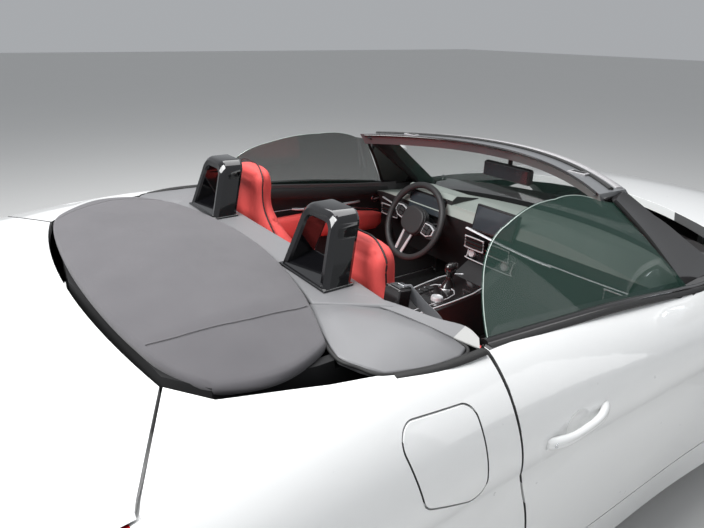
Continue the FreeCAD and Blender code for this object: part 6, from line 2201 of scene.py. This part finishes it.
@dataclass
class Lamps:
    """Headlamps and tail lamps: dark or red covers with what shines in them."""

    eye_radius: float = 0.036
    brake_half: float = 0.170

    def build(self) -> None:
        """Dress the lamps."""
        shell = cad_copy("headlamps", "headlamp_covers", Finishes.LAMP_DARK, 0.002)
        red = cad_copy("tail_lamps", "tail_lamp_covers", Finishes.RED_LAMP, 0.002)
        for side, sign in SIDES:
            self._head(side, sign)
            self._tail(side, sign)
        brake = []
        for k in range(21):
            y = self.brake_half * (k / 10 - 1.0)
            hit, normal = Skin.at("boot_lid", (-2.064, y, 0.962), (-1.0, 0.0, 0.7))
            brake.append(hit + normal * 0.0006)
        strip_piece("high_brake_lamp", brake, 0.0065, Finishes.RED_LAMP, "boot_lid", flat=0.5,
                    steps=1)

    def _head(self, side: str, sign: float) -> None:
        """Two round projectors in bright rings, a daylight line and the indicator."""
        out = (0.80, 0.62 * sign, 0.12)
        parts = []
        size = self.eye_radius
        for place in sided([(1.985, 0.700, 0.650), (1.900, 0.775, 0.668)], sign):
            parts.append(Skin.patch("eye", "headlamps", place, out, (size, size), Finishes.LENS,
                                    1.0, 0.002, 0.0, 0.003))
            ring = Skin.loop("headlamps", place, out, (size + 0.004, size + 0.004), 1.0, 40, 0.0012)
            parts.append(tube("ring", ring, 0.0032, Finishes.CHROME, True))
        line = []
        for k in range(17):
            share = k / 16
            place = (2.050 - 0.330 * share, (0.640 + 0.190 * share) * sign, 0.690 + 0.020 * share)
            hit, normal = Skin.at("headlamps", place, out)
            line.append(hit + normal * 0.0008)
        parts.append(tube("line", line, 0.0042, Finishes.LENS, flat=0.5))
        parts.append(Skin.patch("indicator", "headlamps", (1.735, 0.860 * sign, 0.690),
                                (0.25, 1.0 * sign, 0.1),
                                (0.050, 0.013), Finishes.AMBER, 0.8, 0.0014, 8.0 * sign))
        whole = joined(f"headlamp_inner_{side}", parts)
        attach(whole, "chassis")

    def _tail(self, side: str, sign: float) -> None:
        """Light guides and the pale reversing lamp."""
        out = (-0.75, 0.55 * sign, 0.30)
        parts = []
        for low, high in ((0.905, 0.888), (0.868, 0.852), (0.832, 0.820)):
            line = []
            for k in range(15):
                share = k / 14
                place = (-1.960 - 0.110 * share, (0.860 - 0.190 * share) * sign,
                         high + (low - high) * (1 - share))
                hit, normal = Skin.at("tail_lamps", place, out)
                line.append(hit + normal * 0.0006)
            parts.append(tube("guide", line, 0.0048, Finishes.GUIDE, flat=0.45))
        parts.append(Skin.patch("reversing", "tail_lamps", (-2.070, 0.640 * sign, 0.835), out,
                                (0.040, 0.012),
                                Finishes.LENS, 0.7, 0.0012))
        whole = joined(f"tail_lamp_inner_{side}", parts)
        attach(whole, "chassis")


@dataclass
class BumperFittings:
    """Grille surround, intake mesh, fog lamps, sensors, reflectors, blank plate and pipes."""

    grille_x: float = 2.0935
    plate_low_x: float = -2.1615
    plate_high_x: float = -2.1505
    pipe: Point = (-2.138, 0.560, 0.300)
    pipe_radius: float = 0.048

    def build(self) -> None:
        """Dress both ends of the car."""
        self._grille()
        self._intake()
        self._sensors()
        self._plate()
        self._pipes()

    def _grille(self) -> None:
        """Bright rim and slat faces on the dark grille, with a fine mesh behind."""
        bars = cad_copy("grille", "grille_bars", Finishes.GLOSS, 0.002)
        rim = [(self.grille_x, y, z)
               for y, z in ((-0.322, 0.438), (0.322, 0.438), (0.380, 0.494), (0.343, 0.602),
                            (-0.343, 0.602), (-0.380, 0.494))]
        strip_piece("grille_rim", rim, 0.005, Finishes.CHROME, "chassis", True, 0.7, 10, 1)
        rule = PathRepeat("grille_slat_rule", RepeatShape.SLAT, 0.0965, (0.003, 0.005, 0.148),
                          Finishes.CHROME)
        rule.along("grille_slat_faces", [(2.0805, -0.2925, 0.520), (2.0805, 0.2925, 0.520)],
                   "chassis")
        mesh = PathRepeat("grille_mesh_rule", RepeatShape.SLAT, 0.013, (0.004, 0.0028, 0.160),
                          Finishes.TRIM)
        mesh.along("grille_mesh", [(2.028, -0.340, 0.520), (2.028, 0.340, 0.520)], "chassis")

    def _intake(self) -> None:
        """Mesh of upright and level bars in the low intake."""
        upright = PathRepeat("intake_upright_rule", RepeatShape.SLAT, 0.024, (0.006, 0.004, 0.122),
                             Finishes.TRIM)
        upright.along("intake_uprights", [(2.075, -0.492, 0.298), (2.075, 0.492, 0.298)], "chassis")
        level = PathRepeat("intake_level_rule", RepeatShape.SLAT, 0.030, (0.007, 1.02, 0.004),
                           Finishes.TRIM)
        level.along("intake_levels", [(2.078, 0.0, 0.255), (2.078, 0.0, 0.345)], "chassis")
        for side, sign in SIDES:
            place = (2.070, 0.600 * sign, 0.330)
            out = (1.0, 0.35 * sign, 0.0)
            parts = [Skin.patch("bezel", "front_bumper", place, out, (0.085, 0.048), Finishes.TRIM,
                                0.6, 0.0022),
                     Skin.patch("lens", "front_bumper", place, out, (0.033, 0.033), Finishes.LENS,
                                1.0, 0.004, 0.0, 0.003)]
            ring = Skin.loop("front_bumper", place, out, (0.037, 0.037), 1.0, 32, 0.0034)
            parts.append(tube("ring", ring, 0.0026, Finishes.CHROME, True))
            whole = joined(f"fog_lamp_{side}", parts)
            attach(whole, "chassis")

    def _sensors(self) -> None:
        """Parking sensors, rear reflectors and side repeaters."""
        for side, sign in SIDES:
            for number, (node, place, out) in enumerate((
                    ("front_bumper", (2.09, 0.50 * sign, 0.400), (1.0, 0.22 * sign, 0.0)),
                    ("rear_bumper", (-2.15, 0.360 * sign, 0.590), (-1.0, 0.0, 0.15)),
                    ("rear_bumper", (-2.10, 0.660 * sign, 0.560), (-1.0, 0.35 * sign, 0.15)))):
                dot = Skin.patch(f"sensor_{side}_{number}", node, place, out, (0.011, 0.011),
                                 Finishes.PAINT, 1.0, 0.0012)
                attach(dot, "chassis")
            reflector = Skin.patch(f"rear_reflector_{side}", "rear_bumper",
                                   (-2.12, 0.560 * sign, 0.415),
                                   (-1.0, 0.30 * sign, 0.0), (0.085, 0.0125), Finishes.RED_LAMP,
                                   0.6, 0.0024)
            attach(reflector, "chassis")
            repeater = Skin.patch(f"side_repeater_{side}", f"front_wing_{side}",
                                  (0.800, 0.915 * sign, 0.720),
                                  (0.0, 1.0 * sign, 0.1), (0.038, 0.010), Finishes.AMBER, 0.75,
                                  0.0016)
            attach(repeater, "chassis")

    def _plate(self) -> None:
        """Blank rear plate on its carrier, with two lights above it."""
        boxes = []
        low, high = self.plate_low_x, self.plate_high_x
        # Middle and half size across and up, low and high x, finish
        for y, z, half_y, half_z, x0, x1, finish in (
                (0.0, 0.486, 0.256, 0.056, low, high, Finishes.TRIM),
                (0.0, 0.486, 0.250, 0.050, low - 0.0015, low + 0.001, Finishes.PLATE),
                (0.110, 0.5445, 0.020, 0.0025, low - 0.001, high, Finishes.LENS),
                (-0.110, 0.5445, 0.020, 0.0025, low - 0.001, high, Finishes.LENS)):
            boxes.append(box_between("plate", (x0, y - half_y, z - half_z),
                                     (x1, y + half_y, z + half_z),
                                     finish, 0.0008, 2))
        whole = joined("rear_plate_blank", boxes)
        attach(whole, "chassis")

    def _pipes(self) -> None:
        """Silencer with bright, rolled pipe ends, and the dark diffuser."""
        silencer = cad_copy("exhaust", "exhaust_steel", Finishes.STEEL, 0.002)
        fins = cad_copy("diffuser", "diffuser_panel", Finishes.TRIM, 0.003)
        for side, sign in SIDES:
            x, y, z = self.pipe
            ring = [(x, y * sign + self.pipe_radius * c, z + self.pipe_radius * s)
                    for c, s in circle(40)]
            strip_piece(f"pipe_end_{side}", ring, 0.0042, Finishes.CHROME, "chassis", True, steps=1,
                        sides=10)


@dataclass
class DoorMirror:
    """Painted mirror shell on its black foot, with its glass."""

    side: str
    sign: float

    def build(self) -> None:
        """Dress the mirror."""
        node = f"door_mirror_{self.side}"
        shell = cad_copy(node, f"{node}_shell", Finishes.PAINT, 0.005, 3)
        shell.data.materials.append(Finishes.TRIM.build())
        for face in shell.data.polygons:
            rear = face.normal.x < -0.80 and face.center.z > 0.90
            if face.center.z < 0.944 or rear or (face.normal.z < -0.5):
                face.material_index = 1
        glass = Skin.patch(f"mirror_glass_{self.side}", node, (0.30, 0.918 * self.sign, 0.979),
                           (-1.0, 0.0, 0.0),
                           (0.078, 0.034), Finishes.MIRROR, 0.45, 0.0014)
        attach(glass, f"door_{self.side}")


@dataclass
class CabinDetail:
    """Carpet, belts with their guides, caps and shelves behind the doors, and the pedals."""

    guide_x: float = -0.797
    guide_y: float = 0.556
    web_thick: float = 0.0016
    cap_thick: float = 0.003

    def build(self) -> None:
        """Add what stands about in the cabin."""
        floor = cad_copy("floor_pan", "floor_pan_carpet", Finishes.CARPET)
        self._floor_finish(floor)
        for side, sign in SIDES:
            self._belt(side, sign)
            self._pillar_cap(side, sign)
        self._pedals()

    @staticmethod
    def _floor_finish(obj: bpy.types.Object) -> None:
        """Carpet inside the cabin and boot, dust below and in the arches."""
        obj.data.materials.append(Finishes.UNDER.build())
        for face in obj.data.polygons:
            place, normal = face.center, face.normal
            cabin = -0.91 < place.x < 0.645 and place.z > 0.185 and normal.z > -0.3
            boot = place.x < -0.90 and place.z > 0.46 and normal.z > -0.3
            if not (cabin or boot):
                face.material_index = 1

    def _belt(self, side: str, sign: float) -> None:
        """Grey webbing from the gloss guide behind the shoulder down to the sill."""
        x, y = self.guide_x, self.guide_y * sign
        guide = block("guide", (x, y, 0.974), (0.020, 0.028, 0.058), Finishes.GLOSS, 0.005, 8)
        face = block("guide_face", (x + 0.004, y + 0.004 * sign, 0.979), (0.018, 0.018, 0.056),
                                Finishes.HOOP_FACE, 0.003, 8)
        chip = block("guide_chip", (x + 0.016, y + 0.006 * sign, 1.032), (0.009, 0.012, 0.003),
                                Finishes.CHROME, 0.0015, 24)
        whole = joined(f"belt_guide_{side}", [guide, face, chip])
        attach(whole, "chassis")
        path = [Vector((x + 0.018, y + 0.008 * sign, 1.034)),
                Vector((x + 0.046, y + 0.030 * sign, 0.992)),
                Vector((-0.717, 0.622 * sign, 0.940)), Vector((-0.690, 0.650 * sign, 0.82)),
                Vector((-0.668, 0.655 * sign, 0.55)), Vector((-0.640, 0.650 * sign, 0.32))]
        points = smooth_path(path, 6)
        wide = Vector((0.009, 0.014 * sign, 0.004))
        verts = [p + wide for p in points] + [p - wide for p in points]
        count = len(points)
        faces = [(i, i + 1, count + i + 1, count + i) for i in range(count - 1)]
        web = mesh_object(f"belt_web_{side}", verts, faces, Finishes.WEB, 60)
        thick = web.modifiers.new("thick", "SOLIDIFY")
        thick.thickness = self.web_thick
        settle(web)
        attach(web, "chassis")

    def _pillar_cap(self, side: str, sign: float) -> None:
        """Pale trim that runs on from the deck to the door."""
        outer = [(-0.893, 0.503, 1.0070), (-0.850, 0.602, 1.0035), (-0.817, 0.690, 0.9950),
                 (-0.793, 0.752, 0.9850),
                 (-0.768, 0.806, 0.9760)]
        inner = [(-0.868, 0.488, 1.0090), (-0.822, 0.585, 1.0060), (-0.783, 0.676, 0.9980),
                 (-0.742, 0.735, 0.9900),
                 (-0.744, 0.780, 0.9820)]
        top, edge = ([Vector(p) for p in sided(smooth_path(line, 5), sign)]
                     for line in (outer, inner))
        rows = [top, edge, [p + Vector((0.006, -0.004 * sign, -0.010)) for p in edge],
                [p + Vector((0.004, -0.004 * sign, -0.050)) for p in edge]]
        count = len(top)
        verts = [p for row in rows for p in row]
        faces = loops_to_faces(len(rows), count, False)
        cap = mesh_object(f"pillar_cap_{side}", verts, faces, Finishes.DECK, 30)
        cap.data.materials.append(Finishes.PALE.build())
        for face in cap.data.polygons:
            if abs(face.center.y) > 0.742:
                face.material_index = 1
        thick = cap.modifiers.new("thick", "SOLIDIFY")
        thick.thickness = self.cap_thick
        thick.offset = -1.0
        settle(cap)
        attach(cap, "chassis")
        shelf = [(-0.900, 0.640, 0.955), (-0.800, 0.660, 0.955), (-0.750, 0.690, 0.955),
                 (-0.750, 0.808, 0.955),
                 (-0.820, 0.806, 0.955), (-0.900, 0.796, 0.955)]
        plate_piece(f"pillar_shelf_{side}", sided(shelf, sign), Vector((0, 0, 0.004)),
                    Finishes.LINING, "chassis", 0.001)

    @staticmethod
    def _pedals() -> None:
        """Two pedals and the foot rest under the driver's dash."""
        # Name, middle and half size across and up
        for name, y, z, half_y, half_z in (("accelerator", 0.285, 0.300, 0.024, 0.070),
                                           ("brake", 0.390, 0.335, 0.046, 0.032),
                                           ("foot_rest", 0.560, 0.290, 0.036, 0.080)):
            pad = block(f"pedal_{name}", (0.560, y, z), (0.007, half_y, half_z), Finishes.SILVER,
                        0.003, -22)
            arm = block("arm", (0.590, y, z + 0.060), (0.008, 0.010, 0.090), Finishes.UNDER, 0.002,
                        -14)
            whole = joined(f"pedal_{name}", [pad, arm])
            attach(whole, "chassis")


def finish_rest() -> None:
    """Give the engine, front subframe, rear axle, knuckles and towing socket their finishes where they still
    show.
    """
    looks = {
        "engine_block": Finishes.UNDER, "front_subframe": Finishes.UNDER,
        "rear_axle": Finishes.UNDER,
        "knuckle_left": Finishes.STEEL, "knuckle_right": Finishes.STEEL,
        "towing_socket": Finishes.STEEL}
    for name, node in frame["nodes"].items():
        if not node.hide_render and name in looks:
            paint(node, looks[name])


def main() -> None:
    """Build the car piece by piece."""
    logging.basicConfig(level=logging.INFO, format="%(message)s")

    def made(piece: object, *values: str) -> None:
        """Build one sub-assembly and report it."""
        piece.build(*values)
        LOG.info("built %s %s", type(piece).__name__, " ".join(values))

    for piece in (Studio(), PaintedBody(), CanvasCover(), RearDeck()):
        made(piece)
    for side, sign in SIDES:
        made(RollHoop(centre_y=0.340 * sign), f"roll_hoop_{side}_shell", f"roll_hoop_{side}")
        made(DoorTrim(side, sign))
        made(DoorMirror(side, sign))
        # Axle, place along X, track, tyre width
        for axle, x, track, width in (("front", 1.334, 1.609, 0.225),
                                      ("rear", -1.136, 1.616, 0.255)):
            made(Wheel(axle, side, (x, 0.5 * track * sign, 0.329), width, sign))
    for piece in (BucketSeat("left", 0.368, -0.015, 0.048, 0.049), BucketSeat("right", -0.368),
                  SteeringWheel(), Dashboard(), Console(), GlassAndHeader(), Lamps(),
                  BumperFittings(), CabinDetail()):
        made(piece)
    finish_rest()


if __name__ == "__main__":
    main()
